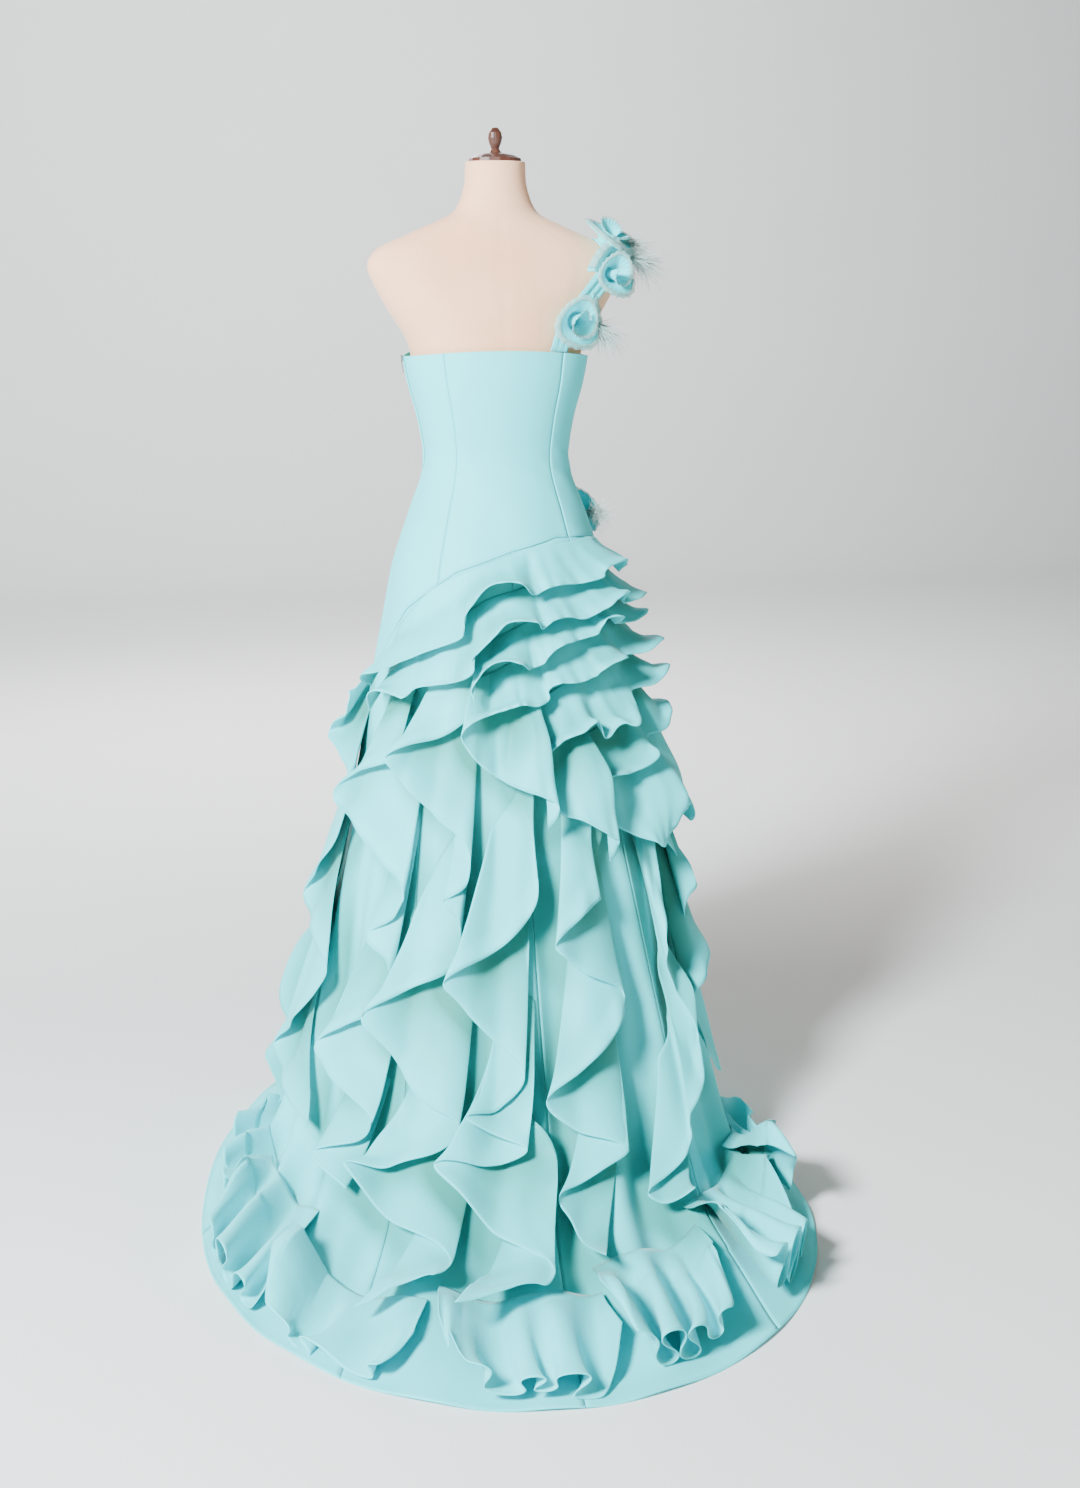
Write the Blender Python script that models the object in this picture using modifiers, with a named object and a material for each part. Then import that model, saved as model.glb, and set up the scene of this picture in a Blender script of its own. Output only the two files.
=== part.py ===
"""One-strap mermaid prom gown with tiered and cascading flounces, on a plain dress form.

Metres, +Z up. The origin is on the floor under the middle of the form. The gown's front
faces -Y, its train lies towards +Y, and the wearer's left is +X.

Cloth is placed with three skin coordinates: turn, the angle round the body in degrees
(0 centre back, 90 the wearer's left, -90 the wearer's right, 180 front); station, the row
of RINGS, 0 at the top edge and 14 at the hem; and lift, the distance out from the skin.
"""
import math

import bpy
import bmesh
import numpy as np
from mathutils import Vector
from mathutils.bvhtree import BVHTree

WALL = 0.0018
SEAM = 0.0003
CLEAR = 0.007
SEAM_STATIONS = 0.5 * SEAM / 0.085
HEM_STATION = 14.0

# name, z_side, z_back, z_front, half_width, back, front, centre_y, centre_x
RINGS = [
    ("top edge",  1.272, 1.281, 1.300, 0.147, 0.094, 0.112, 0.000, 0.000),
    ("bust",      1.230, 1.230, 1.230, 0.139, 0.094, 0.128, 0.000, 0.000),
    ("rib",       1.165, 1.165, 1.165, 0.122, 0.088, 0.104, 0.000, 0.000),
    ("waist",     1.100, 1.100, 1.100, 0.117, 0.084, 0.092, 0.000, 0.000),
    ("high hip",  1.020, 1.020, 1.020, 0.144, 0.108, 0.108, 0.000, 0.000),
    ("hip",       0.940, 0.940, 0.940, 0.171, 0.133, 0.124, 0.000, 0.000),
    ("seat",      0.850, 0.850, 0.850, 0.188, 0.157, 0.140, 0.000, 0.000),
    ("thigh",     0.740, 0.740, 0.740, 0.210, 0.184, 0.158, 0.000, 0.000),
    ("over knee", 0.600, 0.600, 0.600, 0.235, 0.226, 0.184, 0.004, 0.000),
    ("knee",      0.440, 0.440, 0.440, 0.262, 0.284, 0.214, 0.018, 0.000),
    ("calf",      0.270, 0.270, 0.270, 0.290, 0.362, 0.243, 0.045, 0.003),
    ("ankle",     0.115, 0.125, 0.115, 0.318, 0.460, 0.270, 0.095, 0.010),
    ("turn",      0.022, 0.036, 0.018, 0.350, 0.585, 0.292, 0.170, 0.025),
    ("sweep",     0.000, 0.000, 0.000, 0.402, 0.770, 0.316, 0.290, 0.045),
    ("hem",       0.000, 0.000, 0.000, 0.460, 0.970, 0.345, 0.420, 0.064),
]

# The diagonal seam under the bodice: turn, station
DIAGONAL = [
    (-180, 5.10), (-150, 4.80), (-120, 4.60), (-90, 4.52), (-60, 4.42), (-30, 4.38),
    (0, 4.62), (30, 5.00), (60, 5.70), (90, 6.90), (120, 6.50), (150, 5.70), (180, 5.10),
]

# Sections of the form, bottom to top: name, z, half_width, back, front
FORM = [
    ("cut",       0.775, 0.150, 0.118, 0.110),
    ("thigh",     0.805, 0.172, 0.140, 0.126),
    ("seat",      0.880, 0.172, 0.138, 0.126),
    ("hip",       0.940, 0.162, 0.124, 0.116),
    ("high hip",  1.020, 0.138, 0.102, 0.102),
    ("waist",     1.100, 0.111, 0.078, 0.086),
    ("rib",       1.165, 0.116, 0.082, 0.098),
    ("bust",      1.230, 0.133, 0.088, 0.121),
    ("chest",     1.290, 0.141, 0.087, 0.101),
    ("armhole",   1.345, 0.174, 0.083, 0.084),
    ("shoulder",  1.385, 0.196, 0.075, 0.070),
    ("stump",     1.412, 0.204, 0.066, 0.060),
    ("slope out", 1.436, 0.188, 0.056, 0.050),
    ("slope mid", 1.456, 0.146, 0.050, 0.046),
    ("slope in",  1.475, 0.102, 0.047, 0.046),
    ("nape",      1.494, 0.066, 0.045, 0.048),
    ("neck",      1.530, 0.050, 0.044, 0.049),
    ("neck top",  1.568, 0.047, 0.043, 0.046),
]

# Tiers round the hip, from the right hip to the left: hem_turn, hem_station, lift in mm,
# root_turn, root_station. A row stands at each crest and hollow of the wave.
TIERS = {
    "tier_1": [
        (-92, 5.16, 24, -92, 4.56), (-62, 5.10, 38, -76, 4.47), (-44, 5.22, 20, -56, 4.44),
        (-22, 5.30, 30, -35, 4.41), (-6, 5.46, 14, -11, 4.56), (7, 5.34, 38, 3, 4.67),
        (19, 5.86, 34, 16, 4.84), (25, 6.14, 15, 27, 4.99), (40, 6.38, 13, 42, 5.26),
        (56, 6.62, 24, 56, 5.62), (63, 6.86, 34, 65, 5.95), (68, 6.94, 16, 71, 6.22),
    ],
    "tier_2": [
        (-94, 5.72, 24, -94, 5.06), (-69, 5.70, 42, -79, 5.02), (-47, 5.70, 22, -54, 5.02),
        (-21, 5.86, 30, -30, 5.10), (-8, 6.02, 14, -12, 5.22), (5, 6.02, 38, 2, 5.30),
        (15, 6.34, 34, 13, 5.46), (21, 6.66, 14, 24, 5.74), (34, 6.80, 14, 37, 5.98),
        (47, 6.98, 30, 50, 6.20), (58, 7.14, 44, 59, 6.46), (64, 7.26, 22, 66, 6.66),
    ],
    "tier_3": [
        (-94, 6.16, 26, -94, 5.56), (-67, 6.02, 46, -79, 5.50), (-45, 6.06, 24, -52, 5.46),
        (-19, 6.24, 32, -25, 5.62), (-4, 6.58, 13, -9, 5.82), (8, 6.60, 40, 5, 5.94),
        (16, 6.84, 30, 14, 6.14), (22, 7.02, 13, 22, 6.36),
    ],
    "tier_4": [
        (-95, 6.62, 26, -95, 6.02), (-79, 6.58, 48, -80, 5.94), (-50, 6.60, 38, -62, 5.98),
        (-39, 6.70, 24, -44, 6.04), (-23, 6.84, 34, -28, 6.12), (-13, 7.30, 16, -17, 6.22),
        (-9, 8.34, 16, -8, 6.32), (1, 8.02, 28, 0, 6.42), (10, 7.78, 40, 8, 6.54),
        (18, 7.54, 52, 14, 6.68),
    ],
    "tier_5": [
        (-95, 7.10, 28, -95, 6.44), (-80, 7.02, 54, -80, 6.40), (-53, 7.14, 30, -66, 6.48),
        (-41, 7.26, 46, -51, 6.50), (-33, 7.40, 16, -40, 6.56), (-28, 8.86, 30, -32, 6.64),
        (-20, 8.44, 26, -24, 6.74), (-12, 8.14, 30, -16, 6.88), (-6, 7.80, 26, -9, 7.04),
    ],
    "tier_6": [
        (-96, 7.50, 30, -96, 6.84), (-78, 7.46, 60, -80, 6.80), (-65, 7.62, 24, -68, 6.94),
        (-57, 8.86, 24, -62, 7.06), (-46, 8.62, 28, -52, 7.20), (-36, 8.36, 30, -44, 7.32),
        (-27, 8.06, 38, -36, 7.44),
    ],
}

# Cascades down the skirt. Each hangs from an upright root line at root_turn and its hem
# swings out to a tip and back: hem_turn, hem_station, lift in mm
CASCADES = {
    "cascade_side_left": (104, [
        (84, 7.10, 14), (86, 7.40, 26), (95, 7.74, 46), (82, 7.86, 30), (70, 8.10, 16),
        (76, 8.74, 16), (94, 9.40, 42), (80, 9.62, 24), (70, 9.86, 16), (78, 10.30, 18),
        (95, 10.96, 46), (80, 11.20, 28), (68, 11.40, 16),
    ]),
    "cascade_left": (36, [
        (48, 7.74, 28), (60, 7.92, 40), (67, 8.22, 54), (64, 8.42, 42), (51, 8.70, 30),
        (41, 8.94, 18), (43, 9.20, 16), (52, 9.42, 34), (44, 9.62, 18), (45, 9.98, 26),
        (55, 10.30, 42), (62, 10.54, 54), (57, 10.76, 40), (46, 11.00, 20), (48, 11.30, 28),
        (62, 11.74, 34), (50, 12.00, 18),
    ]),
    "cascade_left_back": (13, [
        (20, 7.24, 12), (30, 7.44, 26), (45, 7.74, 50), (42, 7.94, 38), (30, 8.26, 28),
        (20, 8.52, 16), (20, 8.86, 16), (27, 9.04, 34), (22, 9.20, 18), (24, 9.58, 26),
        (37, 9.90, 46), (45, 10.18, 60), (39, 10.42, 44), (32, 10.72, 32), (22, 10.96, 20),
        (25, 11.26, 26), (38, 11.60, 40), (48, 11.84, 46), (38, 12.20, 30), (24, 12.50, 20),
        (24, 12.90, 24), (33, 13.20, 30), (40, 13.44, 24),
    ]),
    "cascade_right": (-84, [
        (-66, 8.16, 24), (-58, 8.38, 54), (-56, 8.60, 30), (-66, 9.00, 22), (-64, 9.28, 52),
        (-60, 9.44, 26), (-70, 9.80, 22), (-57, 10.06, 58), (-50, 10.24, 34), (-56, 10.50, 24),
        (-52, 10.74, 44), (-62, 11.00, 20),
    ]),
    "cascade_right_back": (-56, [
        (-46, 9.20, 18), (-40, 9.58, 44), (-41, 9.82, 24), (-47, 10.46, 20), (-44, 10.98, 44),
        (-38, 11.20, 26), (-37, 11.46, 18), (-33, 11.76, 36), (-23, 11.96, 24), (-34, 12.30, 16),
    ]),
    "cascade_back_right": (-31, [
        (-20, 9.06, 30), (-12, 9.26, 44), (-4, 9.48, 50), (-12, 9.66, 36), (-24, 9.88, 28),
        (-18, 10.26, 40), (-8, 10.56, 46), (1, 10.78, 38), (-5, 11.02, 26), (-18, 11.36, 22),
        (-11, 11.60, 36), (-1, 11.84, 34), (-4, 12.20, 22), (-8, 12.86, 16),
    ]),
    "cascade_back": (-6, [
        (-1, 8.74, 20), (0, 9.04, 22), (9, 9.42, 42), (24, 9.76, 54), (19, 9.98, 36),
        (6, 10.46, 26), (12, 10.80, 36), (19, 11.02, 44), (6, 11.24, 20), (15, 11.42, 34),
        (26, 11.64, 48), (15, 12.16, 32), (3, 12.58, 24), (3, 12.92, 26), (11, 13.20, 40),
        (21, 13.40, 28),
    ]),
}

# Curled ends of the lowest flounce, lying on the train: turn from, turn to, root_station,
# hem_station, loops, swing in degrees
TRAIN_CURLS = {
    "train_curl_1": (113, 88, 12.55, 13.45, 2, 96),
    "train_curl_2": (86, 60, 12.60, 13.86, 3, 104),
    "train_curl_3": (57, 30, 13.10, 13.88, 3, 100),
    "train_curl_4": (22, -7, 13.00, 13.82, 3, 104),
    "train_curl_5": (-13, -36, 12.70, 13.62, 3, 112),
    "train_curl_6": (-39, -64, 12.60, 13.62, 3, 100),
    "train_curl_7": (-66, -92, 12.10, 13.42, 2, 98),
}

CURL_HEIGHT = 0.55

# Tiers that go on round the front, from the right hip to the left side: root_station at the
# right hip, centre front and left side, hem drop at the right and left, waves
FRONT_FROM = -97.0
FRONT_TO = -252.0
FRONT_TIERS = {
    "front_tier_1": (4.58, 5.14, 6.86, 0.62, 0.92, 6),
    "front_tier_2": (5.08, 5.90, 8.10, 0.66, 1.20, 6),
    "front_tier_3": (5.58, 6.90, 9.50, 0.70, 1.40, 6),
    "front_tier_4": (6.04, 7.90, 10.9, 1.00, 1.30, 6),
}

# Cascades below them: root_turn, first station, last station, tips
FRONT_CASCADES = {
    "front_cascade_1": (-108, 7.50, 12.3, 4),
    "front_cascade_2": (-136, 8.10, 12.6, 4),
    "front_cascade_3": (-164, 8.80, 12.5, 3),
    "front_cascade_4": (-192, 9.50, 12.6, 3),
    "front_cascade_5": (-220, 10.2, 12.6, 2),
}

# Panels between upright seams: name, turn from, turn to, columns
BODICE = [
    ("bodice_centre_back", -40, 40, 12), ("bodice_side_back_left", 40, 90, 7),
    ("bodice_side_front_left", 90, 135, 6), ("bodice_centre_front", 135, 225, 12),
    ("bodice_side_front_right", 225, 270, 6), ("bodice_side_back_right", 270, 320, 7),
]
BODICE_ROWS = 9
GORES = [
    ("skirt_gore_back_left", 0, 40, 6), ("skirt_gore_left_back", 40, 90, 7),
    ("skirt_gore_left_front", 90, 135, 6), ("skirt_gore_front_left", 135, 180, 6),
    ("skirt_gore_front_right", 180, 225, 6), ("skirt_gore_right_front", 225, 270, 6),
    ("skirt_gore_right_back", 270, 320, 7), ("skirt_gore_back_right", 320, 360, 6),
]
GORE_ROWS = 12

# Rosettes of folded cloth on the strap: name, place along the strap 0 to 1, radius, height
ROSETTES = [
    ("rosette_1", 0.08, 0.042, 0.034),
    ("rosette_2", 0.27, 0.040, 0.036),
    ("rosette_3", 0.46, 0.040, 0.034),
]
HIP_ROSETTE_RADIUS = 0.045
# Feather tufts lying out from the strap's outer edge: name, place along it, length, thickness
TUFTS = [
    ("tuft_1", 0.12, 0.060, 0.016),
    ("tuft_2", 0.33, 0.056, 0.015),
    ("tuft_3", 0.53, 0.050, 0.015),
]
ZIP_TURN = 90
ZIP_ROWS = 4
HIP_ROSETTE_TURN = -112
HIP_ROSETTE_STATION = 4.10

PARTS = "mermaid_prom_dress"
CLOTH = ("mint crepe", (0.55, 0.80, 0.77, 1), 0.62)
LINEN = ("form linen", (0.78, 0.66, 0.55, 1), 0.85)
WOOD = ("dark wood", (0.10, 0.04, 0.03, 1), 0.40)
METAL = ("stand steel", (0.35, 0.35, 0.36, 1), 0.35)
FEATHER = ("feather", (0.62, 0.74, 0.66, 1), 0.80)


def clear_scene():
    for thing in list(bpy.data.objects):
        bpy.data.objects.remove(thing, do_unlink=True)
    collection = bpy.data.collections.new(PARTS)
    bpy.context.scene.collection.children.link(collection)
    return collection


def finish(thing, finish_of, smooth=True):
    """Puts the object in the parts' collection and gives it its own material."""
    name, colour, roughness = finish_of
    material = bpy.data.materials.new(thing.name + " " + name)
    material.use_nodes = True
    shader = material.node_tree.nodes["Principled BSDF"]
    shader.inputs["Base Color"].default_value = colour
    shader.inputs["Roughness"].default_value = roughness
    shader.inputs["Metallic"].default_value = 0.9 if finish_of is METAL else 0.0
    thing.data.materials.clear()
    thing.data.materials.append(material)
    if smooth:
        thing.data.shade_smooth()
    for old in list(thing.users_collection):
        old.objects.unlink(thing)
    bpy.data.collections[PARTS].objects.link(thing)
    return thing


def smooth_rows(table, at):
    """Catmull-Rom curve through the rows of a table, read at a row number."""
    last = len(table) - 1
    at = np.clip(np.asarray(at, float), 0, last)
    i = np.minimum(at.astype(int), last - 1)
    f = (at - i)[..., None]
    p0, p1 = table[np.maximum(i - 1, 0)], table[i]
    p2, p3 = table[i + 1], table[np.minimum(i + 2, last)]
    square = 2 * p0 - 5 * p1 + 4 * p2 - p3
    cube = 3 * p1 - p0 - 3 * p2 + p3
    return 0.5 * (2 * p1 + (p2 - p0) * f + square * f**2 + cube * f**3)


RING_VALUES = np.array([row[1:] for row in RINGS])
FORM_VALUES = np.array([row[1:] for row in FORM])


def skin(turn, station):
    """The inside of the gown's wall: half an ellipse behind and half in front of each ring."""
    angle = np.radians(turn)
    rows = smooth_rows(RING_VALUES, station)
    z_side, z_back, z_front, half, back, front, centre_y, centre_x = np.moveaxis(rows, -1, 0)
    s, c = np.sin(angle), np.cos(angle)
    reach = np.where(c > 0, back - centre_y, front + centre_y)
    z_end = np.where(c > 0, z_back, z_front)
    z = np.maximum(z_side * s**2 + z_end * c**2, 0)
    return np.stack([centre_x + half * s, centre_y + reach * c, z], -1)


def outward(turn, station):
    """Unit normals of the skin, from its slopes round and down."""
    down = 0.02
    across = skin(turn + 1.0, station) - skin(turn - 1.0, station)
    along = skin(turn, np.minimum(station + down, HEM_STATION)) - skin(turn, station - down)
    normal = np.cross(across, along)
    return normal / np.linalg.norm(normal, axis=-1, keepdims=True)


def place(turn, station, lift):
    turn, station = np.asarray(turn, float), np.asarray(station, float)
    return skin(turn, station) + outward(turn, station) * np.asarray(lift, float)[..., None]


def diagonal(turn):
    """Station of the seam between bodice and skirt."""
    return np.interp((np.asarray(turn, float) + 180) % 360 - 180, *np.transpose(DIAGONAL))


def open_surface(name, points):
    """A mesh over a grid of points, facing out where turn grows along it and station across."""
    rows, columns = points.shape[:2]
    i, j = np.meshgrid(np.arange(rows - 1), np.arange(columns - 1), indexing="ij")
    corner = (i * columns + j).ravel()
    faces = np.stack([corner, corner + columns, corner + columns + 1, corner + 1], -1)
    mesh = bpy.data.meshes.new(name)
    mesh.from_pydata(points.reshape(-1, 3).tolist(), [], faces.tolist())
    return mesh


def cloth(name, points, thickness=WALL, finish_of=CLOTH):
    """One piece of cloth: the surface through the points, with its wall outside of it."""
    thing = bpy.data.objects.new(name, open_surface(name, points))
    bpy.data.collections[PARTS].objects.link(thing)
    wall = thing.modifiers.new("wall", "SOLIDIFY")
    wall.thickness = thickness
    wall.offset = 1.0
    wall.use_even_offset = False
    return finish(thing, finish_of)


def wall_between(name, inner, outer):
    """A closed wall from an inner and an outer grid of points, joined round its four edges.

    The edge faces of two neighbours are split the same way, so that their gap stays even."""
    rows, columns = inner.shape[:2]
    shell = bmesh.new()
    inside = [[shell.verts.new(point) for point in row] for row in inner]
    outside = [[shell.verts.new(point) for point in row] for row in outer]
    for i in range(rows - 1):
        for j in range(columns - 1):
            shell.faces.new((outside[i][j], outside[i + 1][j],
                             outside[i + 1][j + 1], outside[i][j + 1]))
            shell.faces.new((inside[i][j], inside[i][j + 1],
                             inside[i + 1][j + 1], inside[i + 1][j]))
    rim = [(i, 0) for i in range(rows)] + [(rows - 1, j) for j in range(1, columns)]
    rim += [(i, columns - 1) for i in range(rows - 2, -1, -1)]
    rim += [(0, j) for j in range(columns - 2, 0, -1)]
    for (a, b), (c, d) in zip(rim, rim[1:] + rim[:1]):
        first, second = outside[a][b], outside[c][d]
        third, fourth = inside[c][d], inside[a][b]
        if a + b < c + d:
            shell.faces.new((second, first, fourth))
            shell.faces.new((second, fourth, third))
        else:
            shell.faces.new((second, first, third))
            shell.faces.new((first, fourth, third))
    mesh = bpy.data.meshes.new(name)
    shell.to_mesh(mesh)
    shell.free()
    thing = bpy.data.objects.new(name, mesh)
    bpy.data.collections[PARTS].objects.link(thing)
    return finish(thing, CLOTH)


def inset(turn, station, step):
    """Degrees of turn that make half a seam gap here."""
    width = np.linalg.norm(skin(turn + 0.5, station) - skin(turn - 0.5, station), axis=-1)
    return step * 0.5 * SEAM / np.maximum(width, 1e-4)


def panel(name, turn_from, turn_to, columns, top, bottom, rows):
    """A length of the gown's wall between two turns and two stations, both given by turn."""
    share_across = np.linspace(0, 1, columns + 1)[:, None]
    share_down = np.linspace(0, 1, rows + 1)[None, :]
    turn = turn_from + (turn_to - turn_from) * share_across + 0 * share_down
    start, end = top(turn), bottom(turn)
    station = start + (end - start) * share_down
    turn[0] += inset(turn[0], station[0], 1)
    turn[-1] += inset(turn[-1], station[-1], -1)
    return wall_between(name, place(turn, station, 0 * turn), place(turn, station, WALL + 0 * turn))


def bodice_panels():
    for name, turn_from, turn_to, columns in BODICE:
        panel(name, turn_from, turn_to, columns, lambda turn: 0 * turn,
              lambda turn: diagonal(turn) - SEAM_STATIONS, BODICE_ROWS)


def skirt_gores():
    for name, turn_from, turn_to, columns in GORES:
        panel(name, turn_from, turn_to, columns, lambda turn: diagonal(turn) + SEAM_STATIONS,
              lambda turn: 0 * turn + HEM_STATION, GORE_ROWS)


GORE_TURNS = np.concatenate([np.linspace(start, end, columns, endpoint=False)
                             for _, start, end, columns in GORES] + [[360.0]])


def gore_face(turn, station):
    """A point on the flat faces of the gores, between the four nearest corners of their grid."""
    turn = np.asarray(turn, float) % 360
    column = np.clip(np.searchsorted(GORE_TURNS, turn, side="right") - 1, 0, len(GORE_TURNS) - 2)
    left, right = GORE_TURNS[column], GORE_TURNS[column + 1]
    across = (turn - left) / (right - left)
    top_left, top_right = diagonal(left), diagonal(right)
    top = top_left + (top_right - top_left) * across
    down = np.clip((station - top) / (HEM_STATION - top), 0, 1) * GORE_ROWS
    row = np.minimum(down.astype(int), GORE_ROWS - 1)
    part = (down - row)[..., None]
    across = across[..., None]

    def corner(edge, start, number):
        return skin(edge, start + (HEM_STATION - start) * number / GORE_ROWS)

    upper = corner(left, top_left, row) * (1 - across) + corner(right, top_right, row) * across
    lower = (corner(left, top_left, row + 1) * (1 - across)
             + corner(right, top_right, row + 1) * across)
    return upper * (1 - part) + lower * part


def over_gores(turn, station, lift):
    return gore_face(turn, station) + outward(turn, station) * lift[..., None]


class Pile:
    """How high the flounces already laid reach over each place of the skin."""
    TURN_STEP, STATION_STEP = 2.0, 0.05
    TOP = 3.5

    def __init__(self):
        columns = int((HEM_STATION - self.TOP) / self.STATION_STEP) + 1
        self.height = np.zeros((int(360 / self.TURN_STEP), columns))

    def add(self, turn, station, lift):
        """Reads a flounce's grid finely between its points and keeps the highest."""
        parts = 6
        rows, columns = lift.shape
        u = np.linspace(0, rows - 1, (rows - 1) * parts + 1)
        v = np.linspace(0, columns - 1, (columns - 1) * parts + 1)
        i, j = np.minimum(u.astype(int), rows - 2), np.minimum(v.astype(int), columns - 2)
        fu, fv = (u - i)[:, None], (v - j)[None, :]

        def between(grid):
            a, b = grid[np.ix_(i, j)], grid[np.ix_(i + 1, j)]
            c, d = grid[np.ix_(i, j + 1)], grid[np.ix_(i + 1, j + 1)]
            return a * (1 - fu) * (1 - fv) + b * fu * (1 - fv) + c * (1 - fu) * fv + d * fu * fv

        at_turn = np.round((between(turn) + 180) / self.TURN_STEP).astype(int)
        at_station = np.round((between(station) - self.TOP) / self.STATION_STEP).astype(int)
        at_turn %= self.height.shape[0]
        at_station = np.clip(at_station, 0, self.height.shape[1] - 1)
        np.maximum.at(self.height, (at_turn, at_station), between(lift) + WALL + CLEAR)

    def cover(self):
        """The heights widened and then smoothed, so they never fall below the real ones."""
        wide = self.height
        for axis, reach in ((0, 2), (1, 3)):
            shifts = [np.roll(wide, k, axis) for k in range(-reach, reach + 1)]
            wide = np.max(shifts, axis=0)
        for axis, reach in ((0, 2), (1, 3)):
            shifts = [np.roll(wide, k, axis) for k in range(-reach, reach + 1)]
            wide = np.mean(shifts, axis=0)
        return wide

    def over(self, turn, station):
        cover = self.cover()
        at_turn = ((turn + 180) / self.TURN_STEP) % cover.shape[0]
        at_station = np.clip((station - self.TOP) / self.STATION_STEP, 0, cover.shape[1] - 1.001)
        i, j = at_turn.astype(int), at_station.astype(int)
        fu, fv = at_turn - i, at_station - j
        k = (i + 1) % cover.shape[0]
        low = cover[i, j] * (1 - fu) + cover[k, j] * fu
        high = cover[i, j + 1] * (1 - fu) + cover[k, j + 1] * fu
        return low * (1 - fv) + high * fv


CELL_CORNERS = [(slice(None, -1), slice(None, -1)), (slice(1, None), slice(None, -1)),
                (slice(None, -1), slice(1, None)), (slice(1, None), slice(1, None))]


def cell_weights(steps=5):
    """Shares of a cell's four corners at spots all over it, for either way of halving it."""
    weights = []
    for fu in np.linspace(0, 1, steps):
        for fv in np.linspace(0, 1, steps):
            weights.append((1 - fu, fu - fv, 0, fv) if fu >= fv else (1 - fv, 0, fv - fu, fu))
            weights.append((1 - fu - fv, fu, fv, 0) if fu + fv <= 1
                           else (0, 1 - fv, 1 - fu, fu + fv - 1))
    return weights


def settled(pile, turn, station, lift):
    """The lifts, raised just where a face would dip into the gores or into what lies on them."""
    for _ in range(3):
        points = over_gores(turn, station, lift)
        short = np.zeros((lift.shape[0] - 1, lift.shape[1] - 1))
        for weights in cell_weights():
            at_turn, at_station, at_lift, face = [
                sum(weight * grid[corner] for weight, corner in zip(weights, CELL_CORNERS))
                for grid in (turn, station, lift, points)]
            above = np.einsum("ijk,ijk->ij", face - gore_face(at_turn, at_station),
                              outward(at_turn, at_station))
            short = np.maximum(short, WALL + 2.5 * SEAM - above)
            under = pile.over(at_turn, at_station)
            piled = under > 0.002
            short = np.maximum(short, np.where(piled, under - 0.001 - at_lift, 0))
        more = np.zeros_like(lift)
        for corner in CELL_CORNERS:
            more[corner] = np.maximum(more[corner], short)
        lift = lift + more
    return lift


def flounce(name, rows, pile, rise=1.25, parts=2, deep=2):
    """A strip from its sewn root to its waving hem: each row of the table is a fold.

    The lift grows from nothing at the root to the row's own at the hem, over what the
    flounces under it already reach."""
    rows = np.array(rows, float)
    u = np.linspace(0, len(rows) - 1, (len(rows) - 1) * parts + 1)
    folds = smooth_rows(rows, u)[:, None, :]
    v = np.linspace(0, 1, deep + 1)[None, :]
    hem_turn, hem_station, hem_lift, root_turn, root_station = np.moveaxis(folds, -1, 0)
    turn = root_turn + (hem_turn - root_turn) * v
    station = root_station + (hem_station - root_station) * v
    under = pile.over(turn, station)
    own = hem_lift / 1000 * v**rise
    lift = under + own * (1 - 0.5 * np.minimum(under / 0.06, 1))
    lift = settled(pile, turn, station, lift + WALL + SEAM)
    pile.add(turn, station, lift)
    points = over_gores(turn, station, lift)
    facing = np.cross(points[1, 0] - points[0, 0], points[0, 1] - points[0, 0])
    if facing @ outward(turn[:1, :1], station[:1, :1])[0, 0] < 0:
        points = points[::-1]
    return cloth(name, points)


def cascade_rows(root_turn, hem):
    """Rows for a cascade, each a little higher at its root than at its hem."""
    slope = 0.012
    return [(turn, station, lift, root_turn, station - slope * abs(turn - root_turn))
            for turn, station, lift in hem]


def front_tier_rows(right, middle, left, drop_right, drop_left, waves):
    """Crests and hollows in turn, uneven in width and drop."""
    rows = []
    steps = 2 * waves
    for i in range(steps + 1):
        share = i / steps
        uneven = 0.35 * math.sin(2.3 * i + waves) / steps if 0 < i < steps else 0
        turn = FRONT_FROM + (FRONT_TO - FRONT_FROM) * (share + uneven)
        ends = right + (left - right) * share
        root = ends + (2 * middle - right - left) * 2 * share * (1 - share)
        drop = drop_right + (drop_left - drop_right) * share
        crest = i % 2
        lift = (40 + 6 * math.sin(1.7 * i)) if crest else 17
        rows.append((turn, root + drop * (1.05 if crest else 0.95), lift, turn, root))
    return rows


def front_cascade_rows(root_turn, first, last, tips):
    """Tips reach out towards the left side, the hollows between them stay by the root."""
    hem = []
    for i in range(2 * tips + 1):
        station = first + (last - first) * i / (2 * tips)
        tip = i % 2
        reach = (22 + 3 * math.sin(2.1 * i)) if tip else 8
        hem.append((root_turn - reach, station, 44 if tip else 18))
    return cascade_rows(root_turn, hem)


def curl(name, turn_from, turn_to, root_station, hem_station, loops, swing, pile):
    """A flounce end whose hem stands in loops: its direction swings to and fro by a sine of
    the length along it, more towards the hem, and the root lies flat on the train."""
    columns = 7 * loops
    along = np.linspace(0, loops, columns + 1)
    deep = 2
    turn = np.zeros((columns + 1, deep + 1))
    lift = np.zeros_like(turn)
    station = np.zeros_like(turn)
    for k in range(deep + 1):
        v = k / deep
        share, height = meander(along, loops, math.radians(swing) * (0.25 + 0.75 * v))
        turn[:, k] = turn_from + (turn_to - turn_from) * share
        station[:, k] = root_station + (hem_station - root_station) * v
        here = skin(turn[[0, -1], k], station[[0, -1], k])
        width = np.linalg.norm(here[1] - here[0])
        lift[:, k] = (height - height.min()) * width * CURL_HEIGHT * v
    lift = settled(pile, turn, station, lift + WALL + SEAM)
    pile.add(turn, station, lift)
    points = over_gores(turn, station, lift)
    if turn_to < turn_from:
        points = points[::-1]
    return cloth(name, points)


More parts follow.
